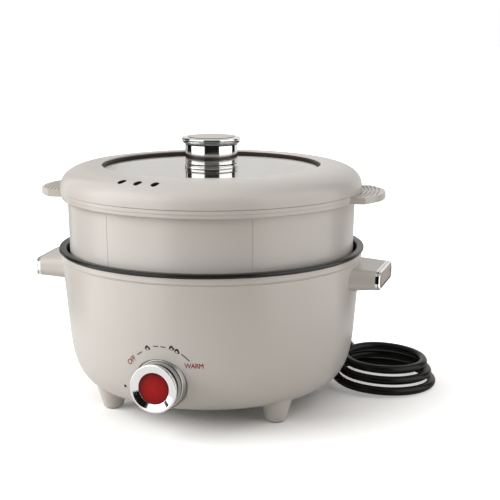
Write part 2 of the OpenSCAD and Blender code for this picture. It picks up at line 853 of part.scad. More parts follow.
// Sweeps a round tube along points, with rings square to the path
function unit(v) = v / norm(v);
function path_heading(p, i) = unit(p[min(i + 1, len(p) - 1)] - p[max(i - 1, 0)]);
function side_of(t) = unit(cross(t, [0, 0, 1]));
function ring(p, i, r, n) =
    let (t = path_heading(p, i), s = side_of(t), u = cross(s, t))
    [for (k = [0 : n - 1]) p[i] + r * (cos(360 * k / n) * s + sin(360 * k / n) * u)];
function tube_faces(rings, n) = concat(
    [for (k = [1 : n - 2]) [0, k, k + 1]],
    [for (i = [0 : rings - 2]) for (k = [0 : n - 1]) let (a = i * n + k, b = i * n + (k + 1) % n) each [
        [a, a + n, b],
        [b, a + n, b + n]
    ]],
    [for (k = [1 : n - 2]) let (o = (rings - 1) * n) [o, o + k + 1, o + k]]
);

module swept(points, d, n) {
    polyhedron([for (i = [0 : len(points) - 1]) each ring(points, i, d / 2, n)], tube_faces(len(points), n));
}

// A smooth curve through hand-placed points, straight over its first and last stretch
function spline_point(a, b, c, d, t) =
    0.5 * (2 * b + (c - a) * t + (2 * a - 5 * b + 4 * c - d) * t * t + (3 * b - a - 3 * c + d) * t * t * t);
function spline(p, steps) = let (last = len(p) - 1) concat(
    [p[0]],
    [for (i = [1 : last - 2]) for (k = [0 : steps - 1])
        spline_point(p[i - 1], p[i], p[i + 1], p[i + 2], k / steps)],
    [p[last - 1], p[last]]
);

wire_d = 2.6;
wire_sides = 8;
way_pitch = block_w / 3;
wire_z = block_z + block_h / 2;

// From the strain relief to the terminal block
live_points = [
    [-3, relief_y - seat, exit_z], [-3, relief_y - 4, exit_z], [-5, 108, 45], [-9, 96, 36], [-11, 80, 26],
    [-way_pitch, 62, wire_z + 1], [-way_pitch, 52, wire_z], [-way_pitch, block_y + block_l + seat, wire_z]
];
neutral_points = [
    [3, relief_y - seat, exit_z], [3, relief_y - 4, exit_z], [5, 108, 45], [9, 96, 36], [11, 80, 26],
    [way_pitch, 62, wire_z + 1], [way_pitch, 52, wire_z], [way_pitch, block_y + block_l + seat, wire_z]
];
// From the terminal block's front to the switch
switch_back_y = -(dial_pad_y - wall - switch_len);
heater_points = [
    [0, block_y - seat, wire_z], [0, block_y - 6, wire_z], [8, 16, wire_z], [24, -10, wire_z],
    [30, -40, wire_z], [22, -70, wire_z + 4], [10, -90, knob_z - 8], [6, switch_back_y + 8, knob_z - 6],
    [6, switch_back_y + seat, knob_z - 6]
];

module wire(points, colour) {
    color(colour) swept(spline(points, 3), wire_d, wire_sides);
}

// Plug, lying on its back with its pins up
plug_x = -14;
plug_y = 160;
plug_w = 46;
plug_l = 48;
plug_h = 21;
plug_chamfer = 4;
plug_entry_z = 8;
plug_round = 8;
plug_sleeve = 6;
plug_mid_x = plug_x - plug_sleeve - plug_l / 2;
pin_h = 17.7;
earth_h = 22.7;

// Cord, from the strain relief down to the table, round the coil and on to the plug
cord_sides = 10;
cord_gap = 0.3;
cord_rest = cord_d / 2 + cord_gap;
coil_x = 145;
coil_y = 82;
coil_layer_gap = 0.7;
coil_pitch = cord_d + coil_layer_gap;
coil_start = 110;
coil_sides = 6;
coil_rings = 24;

// Layer of the coil after a share of turns: level in view, climbing behind the pot
climb_from = 0.62;
function smooth(t) = t <= 0 ? 0 : t >= 1 ? 1 : t * t * (3 - 2 * t);
function coil_layer(turns) = floor(turns) + smooth((turns - floor(turns) - climb_from) / (1 - climb_from));
function coil_point(turns) =
    let (a = coil_start - 360 * turns, r = coil_r - coil_step * turns)
    [coil_x + r * cos(a), coil_y + r * sin(a), cord_rest + coil_pitch * coil_layer(turns)];
coil_count = round(coil_rings * coil_turns);
coil_points = [for (i = [0 : coil_count]) coil_point(coil_turns * i / coil_count)];
coil_foot = coil_points[0];
coil_head = coil_points[coil_count];
foot_heading = unit(coil_points[0] - coil_points[1]);
head_heading = unit(coil_points[coil_count] - coil_points[coil_count - 1]);
coil_path = concat([coil_foot + foot_heading * cord_d], coil_points, [coil_head + head_heading * cord_d]);
coil_gap = min([for (i = [0 : coil_count]) for (k = [i + coil_rings / 2 : 1 : coil_count])
    norm(coil_points[i] - coil_points[k])]) - cord_d;
echo(coil_least_gap = coil_gap);

lead_points = concat(
    [
        [0, relief_tip, exit_z], [0, relief_tip + cord_d, exit_z], [2, 172, 41], [9, 187, 30], [22, 200, 16],
        [40, 206, 7], [60, 203, cord_rest], [78, 190, cord_rest], [91, 168, 6], [99, 146, 13], [104, 126, 21]
    ],
    [coil_head + head_heading * (2 * cord_d), coil_head + head_heading * cord_d]
);
tail_points = concat(
    [coil_foot + foot_heading * cord_d, coil_foot + foot_heading * (2 * cord_d)],
    [
        [92, 116, cord_rest], [72, 121, cord_rest], [52, 131, cord_rest], [32, 144, 5], [14, 154, 6.5],
        [0, 159, 7.5], [plug_x + cord_d, plug_y, plug_entry_z], [plug_x, plug_y, plug_entry_z]
    ]
);

module cord_lead() {
    color(rubber_colour) swept(spline(lead_points, 3), cord_d, cord_sides);
}

module cord_coil() {
    color(rubber_colour) swept(coil_path, cord_d, coil_sides);
}

module cord_tail() {
    color(rubber_colour) swept(spline(tail_points, 3), cord_d, cord_sides);
}

module plug_body() {
    sleeve_d = 13;
    color(rubber_colour) {
        hull() {
            translate([plug_mid_x, plug_y, 0]) linear_extrude(plug_h - plug_chamfer)
                rounded(plug_l, plug_w, plug_round);
            translate([plug_mid_x, plug_y, plug_h - slab]) linear_extrude(slab)
                rounded(plug_l - plug_chamfer, plug_w - plug_chamfer, plug_round - plug_chamfer / 2);
        }
        translate([plug_x - plug_sleeve - eps, plug_y, plug_entry_z]) rotate([0, 90, 0])
            cylinder(d1 = sleeve_d, d2 = relief_tip_d, h = plug_sleeve + eps);
    }
}

module plug_pins() {
    pin_side = 11.1;
    pin_across = 22.2;
    pin_w = 6.3;
    pin_t = 4;
    earth_w = 8;
    front_x = plug_mid_x + 8;
    color(brass_colour) {
        for (s = [-1, 1]) translate([front_x, plug_y + s * pin_side, plug_h + pin_h / 2])
            cube([pin_t, pin_w, pin_h], center = true);
        translate([front_x - pin_across, plug_y, plug_h + earth_h / 2])
            cube([earth_w, pin_t, earth_h], center = true);
    }
}

// Steamer
steamer_z = ledge_z + lift_gap;
steamer_foot_r = ledge_r - steamer_gap;
steamer_top_z = steamer_z + steamer_h;
steamer_flange_z = steamer_top_z - flange_h;
function steamer_r(z) = steamer_foot_r + (z - steamer_z) * tan(steamer_draft);
steamer_flange_r = steamer_r(steamer_flange_z) + flange_w;
plate_lip = 6;
plate_lip_t = 2;
plate_t_steam = 2;
flange_round = 2;
notch_floor = 0.8;
grip_bow = 55;
grip_reach = steamer_flange_r + grip_out;
grip_drop = 0.8;
grip_top_z = steamer_top_z - grip_drop;
grip_grooves = 5;
groove_pitch = 3.4;
groove_cut = 1.6;
groove_depth = 1;
grip_border = 3;

// Plan of a grip on +X, moved in by inset
module grip_plan(inset) {
    intersection() {
        translate([grip_reach - grip_bow, 0]) circle(r = grip_bow - inset);
        translate([0, -grip_w / 2 + inset]) square([grip_reach, grip_w - 2 * inset]);
    }
}

module grip() {
    start_r = steamer_flange_r - flange_w / 2;
    groove_r = steamer_flange_r + groove_cut;
    difference() {
        translate([0, 0, grip_top_z - grip_t]) linear_extrude(grip_t) grip_plan(0);
        translate([0, 0, grip_top_z - grip_t - eps]) cylinder(r = start_r, h = grip_t + 2 * eps);
        intersection() {
            translate([0, 0, grip_top_z - groove_depth]) linear_extrude(2 * groove_depth)
                grip_plan(grip_border);
            for (i = [0 : grip_grooves - 1])
                tube(groove_r + i * groove_pitch + groove_cut, groove_r + i * groove_pitch,
                    grip_top_z - groove_depth, 2 * groove_depth);
        }
    }
}

module steamer_basket() {
    in_top = steamer_r(steamer_top_z) - steamer_wall;
    in_foot = steamer_foot_r - steamer_wall;
    low_r = steamer_flange_r - flange_step;
    step_z = steamer_flange_z + flange_h / 2;
    color(shell_colour) rotate([0, 0, steamer_turn]) difference() {
        union() {
            turned([
                [in_foot - plate_lip, steamer_z],
                [steamer_foot_r - 0.5, steamer_z],
                [steamer_foot_r, steamer_z + 0.5],
                [steamer_r(steamer_flange_z), steamer_flange_z],
                [low_r - flange_round, steamer_flange_z],
                [low_r - 0.3 * flange_round, steamer_flange_z + 0.3 * flange_round],
                [low_r, steamer_flange_z + flange_round],
                [low_r, step_z],
                [steamer_flange_r, step_z + flange_step / 2],
                [steamer_flange_r, steamer_top_z],
                [in_top, steamer_top_z],
                [in_foot, steamer_z + plate_lip_t],
                [in_foot - plate_lip, steamer_z + plate_lip_t]
            ]);
            for (turn = [0, 180]) rotate([0, 0, turn]) grip();
        }
        for (turn = [0, 180]) rotate([0, 0, turn]) for (side = [0, 1]) mirror([0, side, 0]) notch();
    }
}

// The gap between the flange's end and a grip, down to the wall
module notch() {
    difference() {
        translate([0, grip_w / 2, steamer_flange_z - eps]) cube([grip_reach, notch_w, flange_h + 2 * eps]);
        translate([0, 0, steamer_flange_z - 2 * eps])
            cylinder(r = steamer_r(steamer_top_z) + notch_floor, h = flange_h + 4 * eps);
    }
}

module steam_plate() {
    plate_r = steamer_foot_r - steamer_wall - lift_gap;
    hole_rings = 5;
    ring_gap = (plate_r - plate_lip - steam_hole_d) / hole_rings;
    color("#c8c3bc") rotate([0, 0, steamer_turn]) difference() {
        translate([0, 0, steamer_z + plate_lip_t]) cylinder(r = plate_r, h = plate_t_steam);
        translate([0, 0, steamer_z]) cylinder(d = steam_hole_d, h = 2 * plate_lip_t + plate_t_steam);
        for (i = [1 : hole_rings]) for (k = [0 : 6 * i - 1]) rotate([0, 0, 60 / i * k])
            translate([ring_gap * i, 0, steamer_z])
                cylinder(d = steam_hole_d, h = 2 * plate_lip_t + plate_t_steam);
    }
}

// Lid
lid_z = steamer_top_z + lift_gap;
lid_top_z = lid_z + lid_h;
lid_r = steamer_flange_r + lid_over;
window_r = lid_r - lid_band;
glass_z = lid_top_z - glass_depth;
glass_under_z = glass_z - glass_t;
lid_steps = 16;
lip_t = 1.6;
gasket_w = 1.5;
gasket_lip = 3;
gasket_lip_t = 1.2;
well_r = window_r + gasket_w;
gasket_z = glass_under_z - gasket_lip_t;
glass_room = 1.2;
glass_r = window_r - glass_room;
under_t = 3;
under_z = gasket_z - under_t;
well_wall = 2.6;
lid_screw_d = 3;
lid_head_d = 5.4;
lid_head_t = 1.6;
lid_boss_d = 7;
lid_boss_r = well_r + well_wall + lid_boss_d / 2 - eps;
lid_screw_count = 6;
lid_clear = 1.2;
skirt_r = steamer_r(steamer_flange_z) - steamer_wall - lid_clear;
vent_count = 3;
vent_gap = 7.5;
vent_slant = 38;
vent_inset = 13.5;
vent_r = lid_r - vent_inset;

// A point on the dome, moved in by inset, at angle a from its edge to its top
function dome_point(a, inset) = [
    window_r + (lid_r - window_r - inset) * pow(cos(a), 2 / lid_full),
    lid_z + (lid_h - inset) * pow(sin(a), 2 / lid_full)
];
dome_outside = [for (i = [0 : lid_steps]) dome_point(90 * i / lid_steps, 0)];

// Points along the dome's inside between two radii
function dome_angle(r) = acos(pow((r - window_r) / (lid_r - window_r - lid_wall), lid_full / 2));
function dome_inside(from_r, to_r) =
    let (from_a = dome_angle(from_r), to_a = dome_angle(to_r), steps = lid_steps / 2)
    [for (i = [0 : steps]) dome_point(from_a + (to_a - from_a) * i / steps, lid_wall)];

module dome_fill() {
    turned(concat([for (i = [0 : lid_steps]) dome_point(90 * i / lid_steps, lid_wall / 2)],
        [[0, lid_top_z - lid_wall / 2], [0, lid_z]], [[lid_r - lid_wall / 2, lid_z]]));
}

module at_lid_screw() {
    for (i = [0 : lid_screw_count - 1]) rotate([0, 0, 360 / lid_screw_count * (i + 0.5)])
        translate([lid_boss_r, 0, 0]) children();
}

module lid_ring() {
    color(shell_colour) rotate([0, 0, lid_turn]) difference() {
        union() {
            turned(concat(
                dome_outside,
                [[window_r, lid_top_z - lip_t], [well_r, lid_top_z - lip_t]],
                [[well_r, gasket_z], [well_r + well_wall, gasket_z]],
                dome_inside(well_r + well_wall, skirt_r - lid_wall),
                [[skirt_r - lid_wall, lid_z - skirt_len], [skirt_r, lid_z - skirt_len]],
                dome_inside(skirt_r, lid_r - lid_wall)
            ));
            intersection() {
                dome_fill();
                at_lid_screw() translate([0, 0, gasket_z]) cylinder(d = lid_boss_d, h = lid_h);
            }
        }
        at_lid_screw() translate([0, 0, gasket_z - eps]) cylinder(d = lid_screw_d, h = 5 + eps);
        for (i = [0 : vent_count - 1]) rotate([0, 0, (i - 1) * vent_gap])
            translate([0, -vent_r, lid_z + lid_h / 2])
                rotate([0, 0, -vent_slant]) vent_slot(vent_len, vent_w, lid_h);
    }
}

module lid_gasket() {
    slot_r = glass_r + 2 * seat;
    color("#2a1d18") turned([
        [glass_r - gasket_lip, gasket_z],
        [well_r - seat, gasket_z],
        [well_r - seat, lid_top_z - lip_t - seat],
        [window_r, lid_top_z - lip_t - seat],
        [window_r, glass_z + gasket_lip_t],
        [glass_r - gasket_lip / 2, glass_z + gasket_lip_t / 2],
        [glass_r - gasket_lip / 2, glass_z + seat],
        [slot_r, glass_z + seat],
        [slot_r, glass_under_z],
        [glass_r - gasket_lip, glass_under_z]
    ]);
}

lid_screw_hole = 5;
module lid_glass() {
    edge = 0.6;
    color("#cfd4d4", 0.5) turned([
        [lid_screw_hole / 2 + seat, glass_under_z],
        [glass_r - edge, glass_under_z],
        [glass_r, glass_under_z + edge],
        [glass_r, glass_z - edge],
        [glass_r - edge, glass_z],
        [lid_screw_hole / 2 + seat, glass_z]
    ]);
}

module lid_under_ring() {
    color(shell_colour) rotate([0, 0, lid_turn]) difference() {
        tube(lid_boss_r + lid_boss_d / 2, glass_r - gasket_lip, under_z, under_t);
        at_lid_screw() translate([0, 0, under_z - eps])
            cylinder(d = lid_screw_d + screw_play, h = under_t + 2 * eps);
    }
}

module lid_screws() {
    color(steel_colour) rotate([0, 0, lid_turn]) at_lid_screw() translate([0, 0, under_z])
        screw(lid_screw_d, lid_head_d, lid_head_t, under_t + 4);
}

// Lid knob, standing on the glass
inlay_crown = 0.6;
inlay_sink = 0.2;
inlay_t = 3;
knob_top_z = glass_z + lid_knob_h;
foot_bead = 0.5;
foot_bead_h = 3;
flare_h = 4.2;
flare_neck = 1;
flare_lip = 1.4;
lid_screw_thread = 4;
inlay_boss_d = 12;

module lid_knob() {
    r = lid_knob_d / 2;
    top_r = lid_knob_top_d / 2;
    in_r = inlay_d / 2;
    bore_r = r - sleeve_t;
    floor_top = glass_z + sleeve_t;
    lip_z = knob_top_z - flare_lip;
    neck_z = lip_z - flare_h;
    color(chrome_colour) turned([
        [inlay_boss_d / 2 + seat, glass_z],
        [r + foot_bead, glass_z],
        [r + foot_bead, glass_z + foot_bead_h - foot_bead],
        [r, glass_z + foot_bead_h],
        [r, neck_z - flare_neck],
        [r + flare_neck, neck_z],
        [top_r, lip_z],
        [top_r - 0.2, lip_z + 0.4 * flare_lip],
        [in_r + 0.4, knob_top_z - 0.1],
        [in_r + seat, knob_top_z - 0.3],
        [in_r + seat, knob_top_z - inlay_t],
        [bore_r - 3, knob_top_z - inlay_t],
        [bore_r - 3, floor_top],
        [inlay_boss_d / 2 + seat, floor_top]
    ]);
}

module lid_knob_inlay() {
    in_r = inlay_d / 2;
    steps = 6;
    top = knob_top_z - inlay_sink;
    sphere_r = (in_r * in_r + inlay_crown * inlay_crown) / (2 * inlay_crown);
    color("#cdc6be") difference() {
        turned(concat(
            [[0, glass_z], [inlay_boss_d / 2, glass_z], [inlay_boss_d / 2, knob_top_z - inlay_t]],
            [[in_r, knob_top_z - inlay_t]],
            [for (i = [0 : steps]) let (x = in_r * (1 - i / steps))
                [x, top - inlay_crown + sqrt(sphere_r * sphere_r - x * x) - (sphere_r - inlay_crown)]]
        ));
        translate([0, 0, glass_z - eps]) cylinder(d = lid_screw_thread, h = lid_knob_h / 2 + eps);
    }
}

washer_t = 1.6;
module lid_knob_washer() {
    color(steel_colour) tube(9, lid_screw_thread / 2 + seat, glass_under_z - washer_t, washer_t);
}

module lid_knob_screw() {
    color(steel_colour) translate([0, 0, glass_under_z - washer_t])
        screw(lid_screw_thread, 8, 2.6, washer_t + glass_t + lid_knob_h / 2 - 2);
}

housing();
base_cover();
base_cover_screws();
foot(0);  // foot_front_left
foot(1);  // foot_front_right
foot(2);  // foot_rear_right
foot(3);  // foot_rear_left
foot_pads();
foot_screws();
inner_pot();
rim_seal();
heat_plate();
heating_element();
pot_stud();
stud_spacer();
stud_nut();
heat_shield();
thermostat();
thermal_fuse();
terminal_block();
rotary_switch();
switch_nut();
dial_ring();
pilot_lamp();
handle(180);  // handle_left
handle(0);  // handle_right
handle_frame(180);  // handle_frame_left
handle_frame(0);  // handle_frame_right
handle_insert(180);  // handle_insert_left
handle_insert(0);  // handle_insert_right
handle_screws();
strain_relief();
wire(live_points, "#7a4a2a");  // wire_live
wire(neutral_points, "#2f4f8f");  // wire_neutral
wire(heater_points, "#8a2a2a");  // wire_heater
cord_lead();
cord_coil();
cord_tail();
plug_body();
plug_pins();
switch_shaft();
knob();
knob_bezel();
knob_lens();
steamer_basket();
steam_plate();
lid_ring();
lid_glass();
lid_gasket();
lid_under_ring();
lid_screws();
lid_knob();
lid_knob_inlay();
lid_knob_screw();
lid_knob_washer();
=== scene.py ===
"""Dresses an electric hot pot with a steamer tier and a glass lid.

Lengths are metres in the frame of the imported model: the pot's axis is Z, the knob faces -Y,
and the handles point to the sides, a few degrees off X.
"""
import math

import bmesh
import bpy
from mathutils import Matrix, Vector
from mathutils.bvhtree import BVHTree


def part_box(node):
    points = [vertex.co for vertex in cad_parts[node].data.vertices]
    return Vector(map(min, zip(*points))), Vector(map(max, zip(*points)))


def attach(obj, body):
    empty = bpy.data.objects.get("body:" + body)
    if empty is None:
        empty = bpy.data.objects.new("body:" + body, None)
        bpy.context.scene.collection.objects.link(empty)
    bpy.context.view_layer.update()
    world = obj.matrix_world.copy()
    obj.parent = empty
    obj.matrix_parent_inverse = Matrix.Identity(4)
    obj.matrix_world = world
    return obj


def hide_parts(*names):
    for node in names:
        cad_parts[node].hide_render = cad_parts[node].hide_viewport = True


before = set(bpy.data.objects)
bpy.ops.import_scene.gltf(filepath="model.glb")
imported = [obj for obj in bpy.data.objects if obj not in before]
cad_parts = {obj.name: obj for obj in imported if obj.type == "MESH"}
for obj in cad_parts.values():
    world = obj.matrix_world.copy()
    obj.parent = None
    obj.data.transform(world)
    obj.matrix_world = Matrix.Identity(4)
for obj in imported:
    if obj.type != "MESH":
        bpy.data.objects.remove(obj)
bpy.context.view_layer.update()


# Camera
# The picture is taken from the right of the knob and a little above the lid, with a long lens,
# so that the pot stands left of the middle and the coiled cord shows beside it.
def add_object(name, data):
    made = bpy.data.objects.new(name, data)
    bpy.context.collection.objects.link(made)
    return made


camera_data = bpy.data.cameras.new("camera")
camera_data.lens = 89.9
camera_data.sensor_width = 36
camera = add_object("camera", camera_data)
camera.location = (0.3885, -1.0675, 0.364)
view_line = Vector((-0.3067, 0.9316, -0.1951))
camera.rotation_euler = view_line.to_track_quat("-Z", "Y").to_euler()
bpy.context.scene.camera = camera


# Mains cord
# A round three-core lead in black PVC. It drops from the strain relief behind the pot, lies on the table
# in a loose coil of nearly three turns at the pot's right, and runs back to its plug.
class Wire:
    """A shader socket. Sums, products and powers of wires add Math nodes, and node() adds any other node."""

    def __init__(self, tree, socket):
        self.tree = tree
        self.socket = socket

    def node(self, kind, settings=None, sockets=None, out=0):
        made = self.tree.nodes.new(kind)
        for name, value in (settings or {}).items():
            if name == "stops":
                self.set_stops(made.color_ramp, value)
            else:
                setattr(made, name, value)
        for name, value in (sockets or {}).items():
            if isinstance(value, Wire):
                self.tree.links.new(value.socket, made.inputs[name])
            else:
                made.inputs[name].default_value = value
        return Wire(self.tree, made.outputs[out])

    @staticmethod
    def set_stops(ramp, stops):
        ramp.elements.remove(ramp.elements[1])
        ramp.elements[0].position, ramp.elements[0].color = stops[0]
        for place, colour in stops[1:]:
            ramp.elements.new(place).color = colour

    def maths(self, operation, *values):
        return self.node("ShaderNodeMath", {"operation": operation}, dict(enumerate(values)))

    def __add__(self, other):
        return self.maths("ADD", self, other)

    def __sub__(self, other):
        return self.maths("SUBTRACT", self, other)

    def __rsub__(self, other):
        return self.maths("SUBTRACT", other, self)

    def __mul__(self, other):
        return self.maths("MULTIPLY", self, other)

    def __truediv__(self, other):
        return self.maths("DIVIDE", self, other)

    def __pow__(self, other):
        return self.maths("POWER", self, other)

    __radd__ = __add__
    __rmul__ = __mul__

    def noise(self, scale, detail=2.0):
        return self.node("ShaderNodeTexNoise", None, {"Vector": self, "Scale": scale, "Detail": detail})

    def part(self, letter):
        return self.node("ShaderNodeSeparateXYZ", None, {0: self}, letter)

    def reach(self, other):
        """The distance from zero of two coordinates."""
        return (self * self + other * other) ** 0.5

    def fade(self, low, high):
        """A share that goes from 0 at low to 1 at high."""
        return self.node("ShaderNodeMapRange", None, {"Value": self, "From Min": low, "From Max": high})

    def blend(self, low, high):
        """A colour between two others, each plain or a wire."""
        low, high = (end if isinstance(end, Wire) else (*end[:3], 1) for end in (low, high))
        return self.node("ShaderNodeMix", {"data_type": "RGBA"}, {0: self, 6: low, 7: high}, 2)

    def grey(self):
        return self.node("ShaderNodeCombineColor", None, {0: self, 1: self, 2: self})

    def bump(self, distance, strength=1.0):
        return self.node("ShaderNodeBump", None, {"Strength": strength, "Distance": distance, "Height": self})


def new_material(name):
    """A new material, and the wire of its Object coordinates."""
    material = bpy.data.materials.new(name)
    material.use_nodes = True
    tree = material.node_tree
    return material, Wire(tree, tree.nodes.new("ShaderNodeTexCoord").outputs["Object"])


def feed(material, sockets):
    """Links wires to the material's surface shader, and sets the values that are the same all over."""
    tree = material.node_tree
    shader = tree.nodes["Principled BSDF"]
    for name, value in sockets.items():
        if isinstance(value, Wire):
            tree.links.new(value.socket, shader.inputs[name])
        else:
            shader.inputs[name].default_value = value


def fit(piece, body, slot, *nodes):
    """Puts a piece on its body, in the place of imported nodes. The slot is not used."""
    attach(piece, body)
    if nodes:
        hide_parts(*nodes)


cord_d = 0.008
cord_rest = 0.0043
exit_z = 0.047
relief_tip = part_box("strain_relief")[1].y
plug_entry = Vector((-0.014, 0.160, 0.008))
coil_x, coil_y = 0.145, 0.082
coil_turns = 2.8
coil_start = math.radians(110)
coil_r, coil_step = 0.049, 0.0042
coil_pitch = 0.0092
coil_tilt = 0.05
climb_from = 0.62


def coil_point(turns):
    """A point of the coil. Each loop climbs a layer at its back, and the side by the pot lies higher."""
    share = max(0.0, (turns % 1 - climb_from) / (1 - climb_from))
    layer = math.floor(turns) + share * share * (3 - 2 * share)
    angle = coil_start - 2 * math.pi * turns
    radius = coil_r - coil_step * turns
    x = coil_x + radius * math.cos(angle)
    lift = coil_pitch * layer + coil_tilt * (coil_x + coil_r - x)
    return Vector((x, coil_y + radius * math.sin(angle), cord_rest + lift))


def smooth_run(points, steps=8):
    """A smooth curve through listed points."""
    run = []
    for i in range(len(points) - 1):
        a, b, c, d = (points[min(max(k, 0), len(points) - 1)] for k in (i - 1, i, i + 1, i + 2))
        for t in (k / steps for k in range(steps)):
            bend = (2 * a - 5 * b + 4 * c - d) * t**2 + (3 * b - a - 3 * c + d) * t**3
            run.append((2 * b + (c - a) * t + bend) / 2)
    return run + [points[-1]]


coil_count = 136
coil = [coil_point(coil_turns * i / coil_count) for i in range(coil_count + 1)]
foot_heading = (coil[0] - coil[1]).normalized()
head_heading = (coil[-1] - coil[-2]).normalized()
lead = [Vector(point) for point in (
    (0, relief_tip, exit_z), (0, relief_tip + cord_d, exit_z), (0.002, 0.172, 0.041), (0.009, 0.187, 0.030),
    (0.022, 0.200, 0.016), (0.040, 0.206, 0.007), (0.060, 0.203, cord_rest), (0.078, 0.190, cord_rest),
    (0.091, 0.168, 0.006), (0.099, 0.146, 0.013), (0.104, 0.126, 0.021),
)]
lead += [coil[-1] + head_heading * 2 * cord_d, coil[-1] + head_heading * cord_d]
tail = [coil[0] + foot_heading * cord_d, coil[0] + foot_heading * 2 * cord_d]
tail += [Vector(point) for point in (
    (0.092, 0.116, cord_rest), (0.072, 0.121, cord_rest), (0.052, 0.131, cord_rest), (0.032, 0.144, 0.005),
    (0.014, 0.154, 0.0065), (0, 0.159, 0.0075),
)]
tail += [plug_entry + Vector((cord_d, 0, 0)), plug_entry]
route = smooth_run(lead) + coil[::-1] + smooth_run(tail)

cord_curve = bpy.data.curves.new("mains_cord", "CURVE")
cord_curve.dimensions = "3D"
cord_curve.bevel_depth = cord_d / 2
cord_curve.bevel_resolution = 6
cord_curve.use_fill_caps = True
strand = cord_curve.splines.new("POLY")
strand.points.add(len(route) - 1)
for point, place in zip(strand.points, route):
    point.co = (*place, 1)
cord = add_object("mains_cord", cord_curve)

cord_sheath, place = new_material("cord_sheath")
smear = place.noise(60.0)
feed(cord_sheath, {
    "Base Color": smear.blend((0.002, 0.002, 0.002), (0.005, 0.005, 0.005)),
    "Roughness": 0.24 + 0.12 * smear,
    "Specular IOR Level": 0.22,
    "Normal": place.noise(1400.0, 3.0).bump(0.00004),
})
cord_curve.materials.append(cord_sheath)
fit(cord, "base", "cord_sheath", "cord_lead", "cord_coil", "cord_tail")


# Plug
# A moulded three-pin plug in black rubber-like PVC, lying on its back beside the coil with its pins up.
# Its sleeve grips the cord, and the pins are solid brass.
def wire_line(mesh, points, closed=False):
    """Draws a line of edges through points and returns its corners."""
    corners = [mesh.verts.new(point) for point in points]
    ends = corners[1:] + corners[:1] if closed else corners[1:]
    for pair in zip(corners, ends):
        mesh.edges.new(pair)
    return corners


def turn_round(mesh, steps):
    """Spins a line about the Z axis."""
    bmesh.ops.spin(mesh, geom=mesh.verts[:] + mesh.edges[:], cent=(0, 0, 0), axis=(0, 0, 1),
                   angle=2 * math.pi, steps=steps, use_merge=True)


def spun(outline, steps=128, long_run=0.004, run_in=0.0003):
    """A closed outline of (radius, height, rounding) corners, turned about the Z axis.

    Long straight runs get a point near each end, so that the roundings don't shade into them.
    """
    mesh = bmesh.new()
    corners = wire_line(mesh, [(corner[0], 0, corner[1]) for corner in outline], closed=True)
    for vert, corner in zip(corners, outline):
        if len(corner) == 3:
            round_off(mesh, [vert], corner[2], 4, "VERTICES")
    for edge in [e for e in mesh.edges if e.calc_length() > long_run]:
        share = run_in / edge.calc_length()
        rest = bmesh.utils.edge_split(edge, edge.verts[0], share)[0]
        far_part = max((edge, rest), key=lambda e: e.calc_length())
        bmesh.utils.edge_split(far_part, far_part.verts[0], 1 - share)
    turn_round(mesh, steps)
    face_out(mesh)
    return mesh


def round_off(mesh, geom, size, segments=3, affect="EDGES"):
    bmesh.ops.bevel(mesh, geom=geom, offset=size, offset_type="OFFSET", segments=segments, profile=0.5,
                    affect=affect, clamp_overlap=True, material=-1)


def block(size, centre):
    """A cube scaled to a box, to be shaped further."""
    mesh = bmesh.new()
    bmesh.ops.create_cube(mesh, size=1, matrix=Matrix.Translation(centre) @ Matrix.Diagonal((*size, 1)))
    return mesh


def upright_edges(mesh):
    """The edges of a block that stand up."""
    return [e for e in mesh.edges if abs(e.verts[0].co.z - e.verts[1].co.z) > 0.003]


def put(mesh, matrix):
    bmesh.ops.transform(mesh, matrix=matrix, verts=mesh.verts)


def face_out(mesh):
    bmesh.ops.recalc_face_normals(mesh, faces=mesh.faces)


def join(mesh, *others):
    """Adds other meshes to a mesh."""
    for other in others:
        data = bpy.data.meshes.new("joined")
        other.to_mesh(data)
        other.free()
        mesh.from_mesh(data)
        bpy.data.meshes.remove(data)
    return mesh


def make_piece(name, mesh, material, sharp=32):
    """Turns a mesh into an object: merged, facing outward, smooth but for edges past the sharp angle."""
    bmesh.ops.remove_doubles(mesh, verts=mesh.verts, dist=1e-6)
    bmesh.ops.dissolve_degenerate(mesh, dist=1e-7, edges=mesh.edges)
    face_out(mesh)
    for face in mesh.faces:
        face.smooth = True
    for edge in mesh.edges:
        edge.smooth = edge.calc_face_angle(0.0) < math.radians(sharp)
    data = bpy.data.meshes.new(name)
    mesh.to_mesh(data)
    mesh.free()
    data.materials.append(material)
    return add_object(name, data)


def add_piece(name, mesh, material, body, slot, *nodes, sharp=32):
    """Makes a piece and fits it."""
    piece = make_piece(name, mesh, material, sharp)
    fit(piece, body, slot, *nodes)
    return piece


plug_size = Vector((0.048, 0.046, 0.021))
plug_mid = Vector((-0.044, plug_entry.y, plug_size.z / 2))
plug_corner, plug_brim, plug_foot = 0.008, 0.0035, 0.0010
mesh = block(plug_size, plug_mid)
round_off(mesh, upright_edges(mesh), plug_corner, 6)
round_off(mesh, [e for e in mesh.edges if min(v.co.z for v in e.verts) > 0.02], plug_brim, 5)
round_off(mesh, [e for e in mesh.edges if max(v.co.z for v in e.verts) < 0.001], plug_foot, 2)
sleeve = spun([
    (0, -0.004), (0.0065, -0.004), (0.0065, 0.0012, 0.0004), (0.0054, 0.0016), (0.0054, 0.0026),
    (0.0061, 0.0030, 0.0004), (0.0059, 0.0042, 0.0004), (0.0049, 0.0046), (0.0048, 0.0060, 0.0003),
    (0, 0.0060),
], 48)
sleeve_from = Vector((plug_mid.x + plug_size.x / 2, plug_entry.y, plug_entry.z))
put(sleeve, Matrix.Translation(sleeve_from) @ Matrix.Rotation(math.pi / 2, 4, "Y"))
black_pvc, place = new_material("black_pvc")
patch = place.noise(90.0)
feed(black_pvc, {
    "Base Color": patch.blend((0.011, 0.011, 0.011), (0.019, 0.018, 0.018)),
    "Roughness": 0.42 + 0.12 * patch,
    "Normal": place.noise(2200.0, 3.0).bump(0.00005),
})
